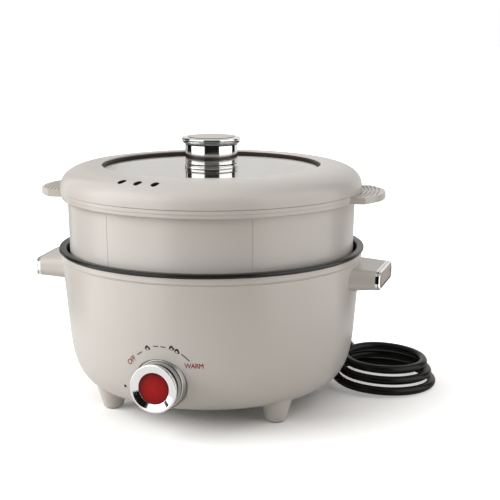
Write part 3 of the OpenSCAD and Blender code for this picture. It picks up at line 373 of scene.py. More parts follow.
plug = add_piece("plug_moulding", join(mesh, sleeve), black_pvc, "base", "black_rubber", "plug_body")

brass, place = new_material("pin_brass")
rub = place.node("ShaderNodeMapping", None, {"Vector": place, "Scale": (1.0, 1.0, 0.05)}).noise(1500.0)
feed(brass, {
    "Base Color": rub.blend((0.62, 0.44, 0.16), (0.80, 0.60, 0.26)),
    "Metallic": 1.0,
    "Roughness": 0.22 + 0.16 * rub,
})
pins = bmesh.new()
pin_x = plug_mid.x + 0.008
for x, y, width, depth, height in (
    (pin_x, 0.0111, 0.004, 0.0063, 0.0177),
    (pin_x, -0.0111, 0.004, 0.0063, 0.0177),
    (pin_x - 0.0222, 0, 0.008, 0.004, 0.0227),
):
    pin = block((width, depth, height), (x, plug_entry.y + y, plug_size.z + height / 2))
    round_off(pin, pin.edges[:], 0.0006, 2)
    join(pins, pin)
pins = add_piece("plug_blades", pins, brass, "base", "brass", "plug_pins")

# Strain relief
# A tapered rubber sleeve moulded on the cord. Its flange holds it in the rear wall of the housing,
# and four grooves let it bend.
mesh = spun([
    (0, 0), (0.0080, 0, 0.0004), (0.0080, 0.0060, 0.0003), (0.0061, 0.0060), (0.0061, 0.0105),
    (0.0080, 0.0105, 0.0004), (0.0076, 0.0125, 0.0008), (0.0061, 0.0128),
    (0.0059, 0.0142, 0.0003), (0.0052, 0.0144, 0.0002), (0.0052, 0.0154),
    (0.0058, 0.0157, 0.0003), (0.0056, 0.0174, 0.0003), (0.0049, 0.0176, 0.0002), (0.0049, 0.0187),
    (0.0055, 0.0190, 0.0003), (0.0053, 0.0207, 0.0003), (0.0047, 0.0209, 0.0002), (0.0047, 0.0219),
    (0.0052, 0.0222, 0.0003), (0.0051, 0.0239, 0.0003), (0.0045, 0.0241, 0.0002), (0.0045, 0.0252),
    (0.0049, 0.0255, 0.0003), (0.0048, 0.0270, 0.0005), (0, 0.0270),
], 64)
relief_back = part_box("strain_relief")[0].y
put(mesh, Matrix.Translation((0, relief_back, exit_z)) @ Matrix.Rotation(-math.pi / 2, 4, "X"))
add_piece("cord_sleeve", mesh, black_pvc, "base", "black_rubber", "strain_relief")
cord_length = sum((b - a).length for a, b in zip(route, route[1:]))

# Housing
# The outer bowl, injection moulded in warm grey plastic with a satin gloss. A smooth band goes round its top
# under the pot's rim, and its wall rounds into a flat base.
shell_low, shell_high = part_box("housing")
body_r = shell_high.x
body_top = shell_high.z
base_z = shell_low.z
base_r = 0.079
hatch_r = 0.059
shell_t = 0.0024
floor_t = 0.0028
band_h = 0.0057
band_step = 0.0007
wall_draft = math.radians(4.7)
shoulder_z = 0.077
bowl_full = 3.2
band_z = body_top - band_h
wall_top_r = body_r - band_step


def wall_r(z):
    return wall_top_r - (band_z - z) * math.tan(wall_draft)


def bowl_line(inset, lift, steps=48):
    """Points up the bowl's wall from its flat base, moved in by inset with the floor raised by lift."""
    line = []
    for i in range(steps + 1):
        angle = math.pi / 2 * (1 - i / steps)
        z = shoulder_z - (shoulder_z - base_z - lift) * math.sin(angle) ** (2 / bowl_full)
        round_in = (wall_r(base_z) - base_r) * (1 - abs(math.cos(angle)) ** (2 / bowl_full))
        line.append((wall_r(z) - inset - round_in, z))
    return line


shell_plastic, place = new_material("shell_plastic")
flow = place.noise(6.0)
feed(shell_plastic, {
    "Base Color": flow.blend((0.619, 0.592, 0.560), (0.631, 0.603, 0.570)),
    "Roughness": 0.27 + 0.03 * flow,
    "Normal": place.noise(2600.0).bump(0.00002),
})
groove_z = band_z - 0.0007
groove_h = 0.0004
groove_d = 0.0006
outside = bowl_line(0, 0)
mesh = spun(
    [(hatch_r, base_z, 0.0004)] + outside
    + [(wall_r(groove_z - groove_h), groove_z - groove_h), (wall_r(groove_z) - groove_d, groove_z)]
    + [(wall_r(groove_z + groove_h), groove_z + groove_h), (wall_top_r, band_z)]
    + [(body_r, band_z + band_step, 0.0003), (body_r, body_top, 0.0004), (body_r - shell_t, body_top)]
    + bowl_line(shell_t, floor_t)[::-1] + [(hatch_r, base_z + floor_t)],
    192,
)
bowl_tree = BVHTree.FromBMesh(mesh)
add_piece("housing_shell", mesh, shell_plastic, "base", "shell_plastic", "housing", sharp=24)


# Printed scale
# The marks round the knob, screen printed on the bowl in dark red: the words for off and warm,
# one flame for low heat, two for high heat, and dashes between them.
def on_bowl(x, z):
    """The point of the bowl's front at a width and a height."""
    return bowl_tree.ray_cast(Vector((x, -1, z)), Vector((0, 1, 0)))[0]


def printed(name, mesh, material, ink=0.00006):
    """Lays a flat mesh in the XZ plane on the bowl's front, with the thickness of ink."""
    for vert in mesh.verts:
        vert.co = on_bowl(vert.co.x, vert.co.z)
    made = bmesh.ops.extrude_face_region(mesh, geom=mesh.faces[:])["geom"]
    bmesh.ops.translate(mesh, vec=(0, -ink, 0), verts=[v for v in made if isinstance(v, bmesh.types.BMVert)])
    add_piece(name, mesh, material, "base", "red_lens")


def about_z(degrees):
    return Matrix.Rotation(math.radians(degrees), 4, "Z")


def on_front(x, z, turn):
    """Stands a flat XY drawing up, facing forward, at a place on the front."""
    return Matrix.Translation((x, 0, z)) @ Matrix.Rotation(math.pi / 2, 4, "X") @ about_z(turn)


def words(text, height, bolder=0.00012, narrower=0.89, capital=0.69):
    """Flat letters, bolder and narrower than the font's own. capital is their share of the font's size."""
    font = bpy.data.curves.new("words", "FONT")
    font.body = text
    font.align_x = "CENTER"
    font.align_y = "CENTER"
    font.size = height / capital
    font.space_character = 0.94
    holder = bpy.data.objects.new("words", font)
    data = bpy.data.meshes.new_from_object(holder)
    mesh = bmesh.new()
    mesh.from_mesh(data)
    bmesh.ops.scale(mesh, vec=(narrower, 1, 1), verts=mesh.verts)
    push = {vert: Vector() for vert in mesh.verts}
    for edge in (e for e in mesh.edges if e.is_boundary):
        first, last = edge.verts
        along = (last.co - first.co).normalized()
        away = (first.co + last.co) / 2 - edge.link_faces[0].calc_center_median()
        outward = (away - along * away.dot(along)).normalized()
        push[first] += outward
        push[last] += outward
    for vert, way in push.items():
        vert.co += way * (2 * bolder / max(way.length_squared, 1.0))
    bpy.data.objects.remove(holder)
    bpy.data.meshes.remove(data)
    return mesh


def flame(height, wide=0.71424, sway=0.072, heart=0.42, heart_drop=0.22):
    """A drop-shaped flame with a hollow heart."""
    mesh = bmesh.new()
    for size, drop in ((1.0, 0.0), (heart, heart_drop)):
        ring = bmesh.ops.create_circle(mesh, segments=32, radius=1)["verts"]
        for vert in ring:
            rise = (vert.co.y + 1) / 2
            side = wide * vert.co.x * (1 - rise) ** 0.5
            lean = sway * math.sin(2 * math.pi * rise)
            vert.co = (height * size * (side + lean), height * (size * (rise - 0.5) - drop), 0)
    bmesh.ops.bridge_loops(mesh, edges=mesh.edges[:])
    return mesh


def dash(length, width=0.0009):
    mesh = bmesh.new()
    size = Matrix.Diagonal((length, width, 1, 1))
    bmesh.ops.create_grid(mesh, x_segments=6, y_segments=1, size=0.5, matrix=size)
    return mesh


def screen_print(name, low, high):
    material, place = new_material(name)
    feed(material, {"Base Color": place.noise(700.0).blend(low, high), "Roughness": 0.45})
    return material


red_print = screen_print("red_print", (0.23, 0.002, 0.003), (0.28, 0.005, 0.006))
brown_print = screen_print("brown_print", (0.030, 0.007, 0.005), (0.050, 0.012, 0.009))
for name, mark, x, z, turn, ink in (
    ("mark_off", words("OFF", 0.0044), -0.0261, 0.0655, 43, red_print),
    ("mark_warm", words("WARM", 0.0041), 0.0300, 0.0650, 0, red_print),
    ("mark_low_flame", flame(0.0046), -0.0103, 0.0789, 4, brown_print),
    ("mark_high_flame_1", flame(0.0044), 0.0116, 0.0805, -8, brown_print),
    ("mark_high_flame_2", flame(0.0044), 0.0163, 0.0780, -26, brown_print),
    ("mark_dash_1", dash(0.0058), -0.0179, 0.0730, 36, brown_print),
    ("mark_dash_2", dash(0.0046), -0.0024, 0.0808, 3, brown_print),
    ("mark_dash_3", dash(0.0046), 0.0041, 0.0807, -6, brown_print),
    ("mark_dash_4", dash(0.0090), 0.0232, 0.0725, -42, brown_print),
):
    put(mark, on_front(x, z, turn))
    printed(name, mark, ink)


# Base cover and its fasteners
# A slotted plastic disc that closes the service opening, held by four pan-head screws and the pot's own nut.
# They are seen only from below.
def dress(material, *nodes):
    """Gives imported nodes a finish."""
    for node in nodes:
        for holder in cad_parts[node].material_slots:
            holder.material = material


steel, place = new_material("plated_steel")
wear = place.noise(240.0, 3.0)
feed(steel, {
    "Base Color": wear.blend((0.48, 0.48, 0.46), (0.60, 0.60, 0.58)),
    "Metallic": 1.0,
    "Roughness": 0.26 + 0.16 * wear,
})
dress(shell_plastic, "base_cover")
dress(steel, "base_cover_screws", "stud_nut", "pot_stud", "stud_spacer", "foot_screws", "handle_screws",
      "switch_nut", "switch_shaft", "heating_element", "lid_screws", "lid_knob_screw", "lid_knob_washer")

# Feet
# Four moulded plastic cones under the bowl, screwed on from below. A rubber pad closes each one
# and keeps the pot from sliding.
foot_r = 0.0085
foot_root_r = 0.013
foot_bottom = 0.0008
pad_room = 0.0062
pad_top = 0.0022
foot_top = 0.045
foot_spread = foot_r + (foot_root_r - foot_r) / base_z * foot_top
foot_ring = 0.0985
foot_turn = 3.5
for name, angle in (("front_left", -51), ("front_right", 51), ("rear_right", 129), ("rear_left", 231)):
    mesh = bmesh.new()
    line = wire_line(mesh, [
        (0, 0, pad_top), (pad_room, 0, pad_top), (pad_room, 0, foot_bottom), (foot_r, 0, foot_bottom),
        (foot_spread, 0, foot_top),
    ])
    round_off(mesh, [line[3]], 0.0016, 5, "VERTICES")
    turn_round(mesh, 64)
    bmesh.ops.remove_doubles(mesh, verts=mesh.verts, dist=1e-6)
    put(mesh, about_z(foot_turn + angle) @ Matrix.Translation((0, -foot_ring, 0)))
    rim = [v for v in mesh.verts if v.co.z > foot_top / 2]
    for vert in rim:
        below = next(e.other_vert(vert) for e in vert.link_edges if e.other_vert(vert).co.z < foot_top / 2)
        vert.co = bowl_tree.ray_cast(below.co, vert.co - below.co)[0]
    top_face = bmesh.ops.holes_fill(mesh, edges=[e for e in mesh.edges if e.is_boundary])["faces"]
    centre = bmesh.ops.poke(mesh, faces=top_face)["verts"][0]
    centre.co = bowl_tree.ray_cast(Vector((centre.co.x, centre.co.y, pad_top)), Vector((0, 0, 1)))[0]
    add_piece("foot_cone_" + name, mesh, shell_plastic, "base", "shell_plastic", "foot_" + name)

rubber, place = new_material("foot_rubber")
feed(rubber, {
    "Base Color": place.noise(300.0).blend((0.012, 0.012, 0.012), (0.030, 0.029, 0.028)),
    "Roughness": 0.75,
    "Normal": place.noise(1800.0, 3.0).bump(0.0001),
})
dress(rubber, "foot_pads")

# Inner pot and its seal
# A drawn aluminium pot with a black non-stick coat inside and out. Its flat rim lies on a thin rubber seal
# on the housing, and a ledge below the rim carries the steamer.
pot_low, pot_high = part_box("inner_pot")
rim_r = pot_high.x
rim_z = pot_high.z
rim_t = 0.003
mouth_r = rim_r - 0.0064
ledge_z = rim_z - 0.018
ledge_r = mouth_r - 0.0024
ledge_in_r = ledge_r - 0.004
pot_wall = 0.0018
pot_floor = rim_z - 0.087
pot_under = pot_low.z
corner_r = 0.038
corner_z = pot_floor + corner_r
pot_draft = math.radians(4)
flat_r = ledge_in_r - (ledge_z - corner_z) * math.tan(pot_draft) - corner_r
quarter = [math.pi / 2 * i / 16 for i in range(17)]
under_r, under_h = corner_r + pot_wall, corner_z - pot_under
mesh = spun(
    [(0, pot_under)]
    + [(flat_r + under_r * math.sin(a), corner_z - under_h * math.cos(a)) for a in quarter]
    + [(ledge_in_r + pot_wall, ledge_z - pot_wall, 0.001), (ledge_r + pot_wall, ledge_z - pot_wall, 0.001)]
    + [(mouth_r + pot_wall, rim_z - rim_t), (rim_r, rim_z - rim_t, 0.001), (rim_r, rim_z, 0.001)]
    + [(mouth_r, rim_z, 0.0014), (ledge_r, ledge_z, 0.0006), (ledge_in_r, ledge_z, 0.001)]
    + [(flat_r + corner_r * math.cos(a), corner_z - corner_r * math.sin(a)) for a in quarter]
    + [(0, pot_floor)],
    192,
)
non_stick, place = new_material("non_stick_coat")
mottle = place.noise(30.0, 3.0)
feed(non_stick, {
    "Base Color": mottle.blend((0.007, 0.007, 0.007), (0.013, 0.013, 0.012)),
    "Roughness": 0.26 + 0.08 * mottle,
    "Specular IOR Level": 0.35,
    "Normal": place.noise(1800.0, 3.0).bump(0.00004),
})
add_piece("coated_pot", mesh, non_stick, "base", "pot_coating", "inner_pot")

seal_low, seal_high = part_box("rim_seal")
add_piece("pot_seal", spun([
    (body_r - shell_t, seal_low.z), (seal_high.x, seal_low.z, 0.0003), (seal_high.x, seal_high.z, 0.0003),
    (body_r - shell_t, seal_high.z),
], 192), rubber, "base", "black_rubber", "rim_seal")

# Heater, switch and wiring
# The works under the pot: a cast aluminium plate with its tube heater, a steel shield, a thermostat, a fuse,
# a porcelain-white terminal block, the rotary switch and three insulated wires. The housing hides them.
for name, low, high, metallic, roughness, nodes in (
    ("cast_aluminium", (0.55, 0.55, 0.54), (0.68, 0.68, 0.66), 1, 0.42, ("heat_plate", "heat_shield")),
    ("phenolic_black", (0.018, 0.018, 0.017), (0.04, 0.038, 0.036), 0, 0.45, ("thermostat", "rotary_switch")),
    ("terminal_white", (0.68, 0.66, 0.58), (0.78, 0.76, 0.70), 0, 0.40, ("terminal_block", "thermal_fuse")),
    ("brown_insulation", (0.16, 0.07, 0.03), (0.22, 0.10, 0.05), 0, 0.45, ("wire_live",)),
    ("blue_insulation", (0.03, 0.07, 0.24), (0.05, 0.10, 0.32), 0, 0.45, ("wire_neutral",)),
    ("red_insulation", (0.25, 0.03, 0.03), (0.33, 0.05, 0.04), 0, 0.45, ("wire_heater",)),
):
    inner_finish, place = new_material(name)
    fleck = place.noise(260.0, 3.0)
    feed(inner_finish, {
        "Base Color": fleck.blend(low, high),
        "Metallic": metallic,
        "Roughness": roughness + 0.12 * fleck,
    })
    dress(inner_finish, *nodes)


# Side handles
# Two moulded grips on the housing's wall, wider and deeper at the root. A chrome-plated frame with a fine
# groove round it caps each end, the groove painted near-black as shade, with a bronze-taupe plate set into it
# whose edge is painted with a dark line of shade. The right grip's end is cut aslant.
def end_loop(width, height, corner, x, z):
    """An upright loop with round corners across X, with points along its straight runs."""
    mesh = bmesh.new()
    corners = wire_line(mesh, [(x, side * width / 2, z + up * height / 2)
                               for side, up in ((-1, -1), (1, -1), (1, 1), (-1, 1))], closed=True)
    round_off(mesh, corners, corner, 8, "VERTICES")
    bmesh.ops.subdivide_edges(mesh, edges=[e for e in mesh.edges if e.calc_length() > 0.004], cuts=11)
    return mesh


def pull(mesh, edges, along):
    """Extrudes a loop of edges and returns the new loop's points."""
    made = bmesh.ops.extrude_edge_only(mesh, edges=edges)["geom"]
    points = [v for v in made if isinstance(v, bmesh.types.BMVert)]
    bmesh.ops.translate(mesh, vec=along, verts=points)
    return points


def loop_of(mesh, points):
    chosen = set(points)
    return [e for e in mesh.edges if e.verts[0] in chosen and e.verts[1] in chosen]


def plated(name, groove_shade_of=None):
    """Bright chrome plate. groove_shade_of gives the grooves that are painted near-black as shade, from the
    Object coordinates.
    """
    material, place = new_material(name)
    smudge = place.noise(70.0, 3.0)
    tone = 0.84 + 0.06 * smudge
    if groove_shade_of:
        tone = tone * (1 - 0.96 * groove_shade_of(place))
    feed(material, {
        "Base Color": tone.grey(),
        "Metallic": 1.0,
        "Roughness": 0.05 + 0.05 * smudge,
    })
    return material


frame_low, frame_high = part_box("handle_frame_right")
tip_x = rim_r + 0.0215
grip_x = tip_x - 0.0042
end_w = 0.0617
end_h = frame_high.z - frame_low.z
end_z = (frame_high.z + frame_low.z) / 2
root_x, root_w, root_h, root_z = 0.1256, 0.069, 0.0215, end_z + 0.0007
handle_turn = 6.5
corner = 0.0068
border = 0.0018
plate_sink = 0.0004
plate_gap = 0.0004
plate_shade_line = 0.0005
plate_w, plate_h = (size - 2 * border - 2 * plate_gap for size in (end_w, end_h))
end_lean = math.tan(math.radians(4.5))
seat = 0.00005
line_x, line_w, line_d = grip_x + 0.0021, 0.0003, 0.0004


def level_handle(place):
    """Object coordinates turned back, so that both handles lie along X."""
    back = (0, 0, -math.radians(handle_turn))
    return place.node("ShaderNodeMapping", None, {"Vector": place, "Rotation": back})


# The frame's groove is painted near-black, as the shade inside it.
def frame_groove_shade(place):
    level = level_handle(place)
    across = level.part("X")
    leaning = end_lean * level.part("Y") * across.maths("GREATER_THAN", across, 0)
    depth = across.maths("ABSOLUTE", across - leaning)
    return depth.maths("COMPARE", depth, line_x, line_w)


frame_chrome = plated("frame_chrome", frame_groove_shade)
taupe, place = new_material("taupe_plate")
cloud = place.noise(60.0, 3.0)
level_plate = level_handle(place)
from_end = plate_w / 2 - level_plate.maths("ABSOLUTE", level_plate.part("Y"))
from_top = plate_h / 2 - level_plate.maths("ABSOLUTE", level_plate.part("Z") - end_z)
inward = from_end.maths("MINIMUM", from_end, from_top)
tone = cloud.blend((0.300, 0.245, 0.207), (0.360, 0.300, 0.255))
# A near-black line painted round the plate's edge is the shade in the gap to the frame.
feed(taupe, {
    "Base Color": inward.fade(plate_shade_line, plate_shade_line + 0.0002).blend((0.01, 0.009, 0.008), tone),
    "Metallic": 0.45,
    "Roughness": 0.30 + 0.10 * cloud,
    "Normal": place.noise(2600.0).bump(0.00002),
})


def lean_out(verts, lean):
    """Tilts a handle's end face, so that its rear corner reaches further out than its front one."""
    for vert in verts:
        vert.co.x += lean * vert.co.y


for side, turn, lean in (("right", 0, end_lean), ("left", 180, 0)):
    to_side = about_z(handle_turn + turn)

    mesh = end_loop(end_w, end_h, corner, grip_x, end_z)
    for vert in pull(mesh, mesh.edges[:], (root_x - grip_x, 0, root_z - end_z)):
        vert.co.y *= root_w / end_w
        vert.co.z = root_z + (vert.co.z - root_z) * root_h / end_h
    half_way = (root_x + grip_x) / 2
    for vert in [v for v in mesh.verts if v.co.x < half_way]:
        tip = next(e.other_vert(vert) for e in vert.link_edges if e.other_vert(vert).co.x > half_way)
        vert.co = bowl_tree.ray_cast(tip.co, vert.co - tip.co)[0]
    lean_out([v for v in mesh.verts if v.co.x > grip_x - seat], lean)
    put(mesh, to_side)
    bmesh.ops.holes_fill(mesh, edges=mesh.edges)
    add_piece("handle_grip_" + side, mesh, shell_plastic, "base", "shell_plastic", "handle_" + side, sharp=40)

    mesh = end_loop(end_w, end_h, corner, grip_x, end_z)
    front = mesh.edges[:]
    for along, grow in ((line_x - line_w - grip_x, 0), (0, -line_d), (2 * line_w, 0), (0, line_d),
                        (tip_x - line_x - line_w, 0)):
        points = pull(mesh, front, (along, 0, 0))
        for vert in points:
            vert.co.y += grow * math.copysign(1, vert.co.y)
            vert.co.z += grow * math.copysign(1, vert.co.z - end_z)
        front = loop_of(mesh, points)
    inner = pull(mesh, front, (0, 0, 0))
    for vert in inner:
        vert.co.y *= (end_w - 2 * border) / end_w
        vert.co.z = end_z + (vert.co.z - end_z) * (end_h - 2 * border) / end_h
    pull(mesh, loop_of(mesh, inner), ((grip_x - tip_x) * 2 / 3, 0, 0))
    bmesh.ops.holes_fill(mesh, edges=mesh.edges)
    face_out(mesh)
    lips = [e for e in mesh.edges if e.calc_face_angle(0) > 1 and e.verts[0].co.x > tip_x - 0.0001]
    outer_lips = [e for e in lips if abs(e.verts[0].co.y) > end_w / 2 - border / 2
                  or abs(e.verts[0].co.z - end_z) > end_h / 2 - border / 2]
    round_off(mesh, outer_lips, 0.0015, 5)
    lean_out(mesh.verts, lean)
    put(mesh, to_side)
    add_piece("handle_trim_" + side, mesh, frame_chrome, "base", "chrome", "handle_frame_" + side)

    back_x = grip_x + (tip_x - grip_x) / 3
    mesh = end_loop(plate_w, plate_h, corner - border, back_x, end_z)
    pull(mesh, mesh.edges[:], (tip_x - plate_sink - back_x, 0, 0))
    bmesh.ops.holes_fill(mesh, edges=mesh.edges)
    face_out(mesh)
    front_edges = [e for e in mesh.edges if e.calc_face_angle(0) > 1 and e.verts[0].co.x > tip_x - 0.001]
    round_off(mesh, front_edges, 0.0004, 2)
    lean_out(mesh.verts, lean)
    put(mesh, to_side)
    add_piece("handle_plate_" + side, mesh, taupe, "base", "taupe_plastic", "handle_insert_" + side)


# Control knob
# A satin-plated dial ring is let into the bowl. The knob turns in it on the switch's shaft: a satin skirt,
# a neck painted near-black as the shade in its recess, a chrome bezel with a dished face, and a domed lens
# of red translucent plastic in its middle.
knob_z = 0.0475
knob_r = 0.0210
ring_low, ring_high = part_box("dial_ring")
ring_r = ring_high.x
ring_t = 0.0042
pad_y = -ring_low.y - ring_t
at_knob = Matrix.Translation((0, -pad_y, knob_z)) @ Matrix.Rotation(math.pi / 2, 4, "X")


def knob_piece(name, outline, material, slot, body, node):
    mesh = spun(outline, 144)
    put(mesh, at_knob)
    add_piece(name, mesh, material, body, slot, node)


satin, place = new_material("satin_metal")
reach = place.part("X").reach(place.part("Z") - knob_z)
lathe = reach.node("ShaderNodeCombineXYZ", None, {"X": reach, "Y": place.part("Y")}).noise(3500.0, 2.0)
# The dial ring's outer band is darker, and the neck behind the bezel is painted near-black as shade in its
# recess.
outer = reach.fade(knob_r + 0.0004, knob_r + 0.0007)
neck_shade = reach.fade(knob_r - 0.0011, knob_r - 0.0013)
tone = (0.56 - 0.36 * outer + 0.08 * lathe) * (1 - 0.95 * neck_shade)
feed(satin, {
    "Base Color": tone.node("ShaderNodeCombineColor", None, {0: tone, 1: 0.985 * tone, 2: 0.955 * tone}),
    "Metallic": 1.0,
    "Roughness": 0.30 + 0.10 * lathe,
    "Normal": lathe.bump(0.00001),
})
knob_back = ring_t + 0.0003
knob_front = knob_back + 0.0090
ring_hole_r = 0.0090
mesh = spun([
    (ring_hole_r, 0), (ring_r, 0), (ring_r, 0.0014, 0.0004), (knob_r + 0.0006, ring_t - 0.0006, 0.0002),
    (knob_r + 0.0003, ring_t, 0.0003), (knob_r - 0.0004, ring_t, 0.0002), (knob_r - 0.0008, ring_t - 0.0016),
    (ring_hole_r, ring_t - 0.0016),
], 144)
put(mesh, at_knob)
for vert in mesh.verts:
    behind = vert.co.y > -pad_y - 0.0001 and math.hypot(vert.co.x, vert.co.z - knob_z) > ring_r - 0.0001
    if behind:
        vert.co = on_bowl(vert.co.x, vert.co.z)
add_piece("dial_surround", mesh, satin, "base", "satin_metal", "dial_ring")

lens_r = 0.0136
bezel_top = knob_front + 0.0041
dish_low = bezel_top - 0.0016
shaft_hole_r = 0.0060
skirt_top = knob_front - 0.0034
knob_piece("knob_skirt", [
    (shaft_hole_r, knob_front - 0.0020), (knob_r - 0.0025, knob_front - 0.0020), (knob_r - 0.0025, knob_back),
    (knob_r - 0.0005, knob_back, 0.0004), (knob_r - 0.0007, skirt_top, 0.0002),
    (knob_r - 0.0020, skirt_top), (knob_r - 0.0020, knob_front), (shaft_hole_r, knob_front),
], satin, "satin_metal", "knob", "knob")
chrome = plated("chrome_plate")
knob_piece("knob_rim", [
    (lens_r + seat, knob_front), (knob_r - 0.0010, knob_front, 0.0003), (knob_r, knob_front + 0.0010, 0.0005),
    (knob_r, bezel_top, 0.0007), (knob_r - 0.0016, bezel_top, 0.0007), (lens_r + seat, dish_low, 0.0002),
], chrome, "chrome", "knob", "knob_bezel")

red_lens, place = new_material("red_lens")
upward = place.part("Z") - knob_z
across = place.part("X")
reach = across.reach(upward) / lens_r
cast = place.noise(160.0, 3.0)
# The lens darkens towards its edge, and is painted darker at its upper left and lighter at its lower right:
# painted shade under the bezel's rim and painted light.
shade = reach.node("ShaderNodeValToRGB", {"stops": [
    (0.0, (0.36, 0.014, 0.011, 1)), (0.55, (0.31, 0.009, 0.009, 1)), (0.85, (0.25, 0.006, 0.008, 1)),
    (1.0, (0.13, 0.004, 0.006, 1)),
]}, {"Fac": reach + 0.16 * cast - 0.08 + (upward - across) * (0.14 / lens_r)})
feed(red_lens, {
    # A near-black ring at the lens's edge is painted shade where it sits below the bezel.
    "Base Color": reach.fade(0.92, 0.97).blend(shade, (0.075, 0.003, 0.005)),
    "Roughness": 0.30 + 0.10 * cast,
    "Specular IOR Level": 0.12,
})


def crowned(radius, edge_z, crown):
    """Points of a low dome, from its edge to its middle."""
    ball_r = (radius**2 + crown**2) / (2 * crown)
    return [(r, edge_z + math.sqrt(ball_r**2 - r**2) - ball_r + crown)
            for r in (radius * (1 - i / 12) for i in range(13))]


window = [(0, knob_front), (lens_r, knob_front)] + crowned(lens_r, dish_low - 0.0002, 0.0009)
knob_piece("knob_window", window, red_lens, "red_lens", "knob", "knob_lens")

lamp, place = new_material("lamp_lens")
feed(lamp, {
    "Base Color": place.noise(900.0).blend((0.015, 0.008, 0.008), (0.045, 0.014, 0.012)),
    "Roughness": 0.2,
})
dress(lamp, "pilot_lamp")


# Steamer tier
# A plain tub in the shell's plastic that drops into the pot's mouth, with two faint mould seams. A stepped
# flange goes round its top, cut off beside two flat grips with ridges for the fingers, and a lip at its foot
# holds the steam plate.
def combine(mesh, tool, operation):
    """A mesh with another one joined to it or taken out of it."""
    holders = []
    for part in (mesh, tool):
        bmesh.ops.remove_doubles(part, verts=part.verts, dist=1e-6)
        face_out(part)
        data = bpy.data.meshes.new("part")
        part.to_mesh(data)
        part.free()
        holders.append(add_object("part", data))
    modifier = holders[0].modifiers.new("combine", "BOOLEAN")
    modifier.object = holders[1]
    modifier.operation = operation
    modifier.solver = "EXACT"
    result = bmesh.new()
    result.from_object(holders[0], bpy.context.evaluated_depsgraph_get())
    for holder in holders:
        data = holder.data
        bpy.data.objects.remove(holder)
        bpy.data.meshes.remove(data)
    return result


def arc_bar(inner, outer, low, high, half_angle):
    """A bar of square section that follows a circle about the Z axis, to both sides of +X."""
    mesh = bmesh.new()
    start = Matrix.Rotation(-half_angle, 4, "Z")
    corners = [mesh.verts.new(start @ Vector((r, 0, z)))
               for r, z in ((inner, low), (outer, low), (outer, high), (inner, high))]
    mesh.faces.new(corners)
    bmesh.ops.spin(mesh, geom=mesh.verts[:] + mesh.edges[:] + mesh.faces[:], cent=(0, 0, 0), axis=(0, 0, 1),
                   angle=2 * half_angle, steps=24)
    return mesh


basket_low, basket_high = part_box("steamer_basket")
foot_z = basket_low.z
top_z = basket_high.z
tub_wall = 0.002
tub_draft = math.radians(1.4)
tub_foot_r = ledge_r - 0.0015
flange_z = top_z - 0.0075
flange_step = 0.0006


def tub_r(z):
    return tub_foot_r + (z - foot_z) * math.tan(tub_draft)


flange_r = tub_r(flange_z) + 0.0059
low_r = flange_r - flange_step
step_z = (flange_z + top_z) / 2
lip_r = tub_foot_r - tub_wall - 0.006
lip_top = foot_z + 0.002
tub = spun([
    (lip_r, foot_z, 0.0004), (tub_foot_r, foot_z, 0.0008), (tub_r(flange_z), flange_z, 0.0005),
    (low_r, flange_z, 0.0016), (low_r, step_z), (flange_r, step_z + flange_step / 2, 0.0003),
    (flange_r, top_z, 0.0006), (tub_r(top_z) - tub_wall, top_z, 0.0006),
    (tub_foot_r - tub_wall, lip_top, 0.0006), (lip_r, lip_top, 0.0004),
], 192)

grip_w = 0.076
grip_t = 0.0063
grip_bow = 0.055
grip_border = 0.003
grip_top = top_z - 0.0008
grip_reach = flange_r + 0.022
grip_mid = grip_reach - grip_bow
grip_from = tub_r(flange_z) - 0.0008
grip_turn = 9
gap_from, gap_pitch, gap_w, gap_deep = flange_r + 0.0016, 0.0034, 0.0016, 0.0010
notch_from, notch_l, notch_w = 0.1295, 0.03, 0.003
for turn in (0, 180):
    grip = bmesh.new()
    bmesh.ops.create_circle(grip, cap_ends=True, segments=144, radius=grip_bow,
                            matrix=Matrix.Translation((grip_mid, 0, grip_top)))
    for normal, spot in (((0, 1, 0), grip_w / 2), ((0, -1, 0), grip_w / 2), ((-1, 0, 0), -grip_from)):
        bmesh.ops.bisect_plane(grip, geom=grip.verts[:] + grip.edges[:] + grip.faces[:],
                               plane_co=Vector(normal) * spot, plane_no=normal, clear_outer=True)
    inner_edge = [e for e in grip.edges if all(abs(v.co.x - grip_from) < 1e-5 for v in e.verts)]
    bmesh.ops.subdivide_edges(grip, edges=inner_edge, cuts=15)
    for vert in grip.verts:
        if abs(vert.co.x - grip_from) < 1e-5:
            vert.co.x = math.sqrt(grip_from**2 - vert.co.y**2)
    body = bmesh.ops.extrude_face_region(grip, geom=grip.faces[:])["geom"]
    lowered = [v for v in body if isinstance(v, bmesh.types.BMVert)]
    bmesh.ops.translate(grip, vec=(0, 0, -grip_t), verts=lowered)
    face_out(grip)
    outer_edges = [e for e in grip.edges if e.calc_face_angle(0) > 1
                   and all(v.co.xy.length > grip_from + 0.0005 for v in e.verts)]
    round_off(grip, outer_edges, 0.0010, 3)
    for i in range(5):
        inner = gap_from + gap_pitch * i
        middle = inner + gap_w / 2
        arc_x = (middle**2 + grip_mid**2 - (grip_bow - grip_border) ** 2) / (2 * grip_mid)
        half_angle = min(math.acos(min(1, arc_x / middle)), math.asin((grip_w / 2 - grip_border) / middle))
        ridge_gap = arc_bar(inner, inner + gap_w, grip_top - gap_deep, grip_top + gap_deep, half_angle)
        grip = combine(grip, ridge_gap, "DIFFERENCE")
    place_grip = about_z(grip_turn + turn)
    for side in (1, -1):
        notch_mid = (notch_from + notch_l / 2, side * (grip_w + notch_w) / 2, top_z - 0.004)
        notch = block((notch_l, notch_w, 0.02), notch_mid)
        put(notch, place_grip)
        tub = combine(tub, notch, "DIFFERENCE")
    put(grip, place_grip)
    tub = combine(tub, grip, "UNION")
wall_mid = (foot_z + flange_z) / 2
on_wall = Matrix.Translation((tub_r(wall_mid), 0, wall_mid)) @ Matrix.Rotation(tub_draft, 4, "Y")
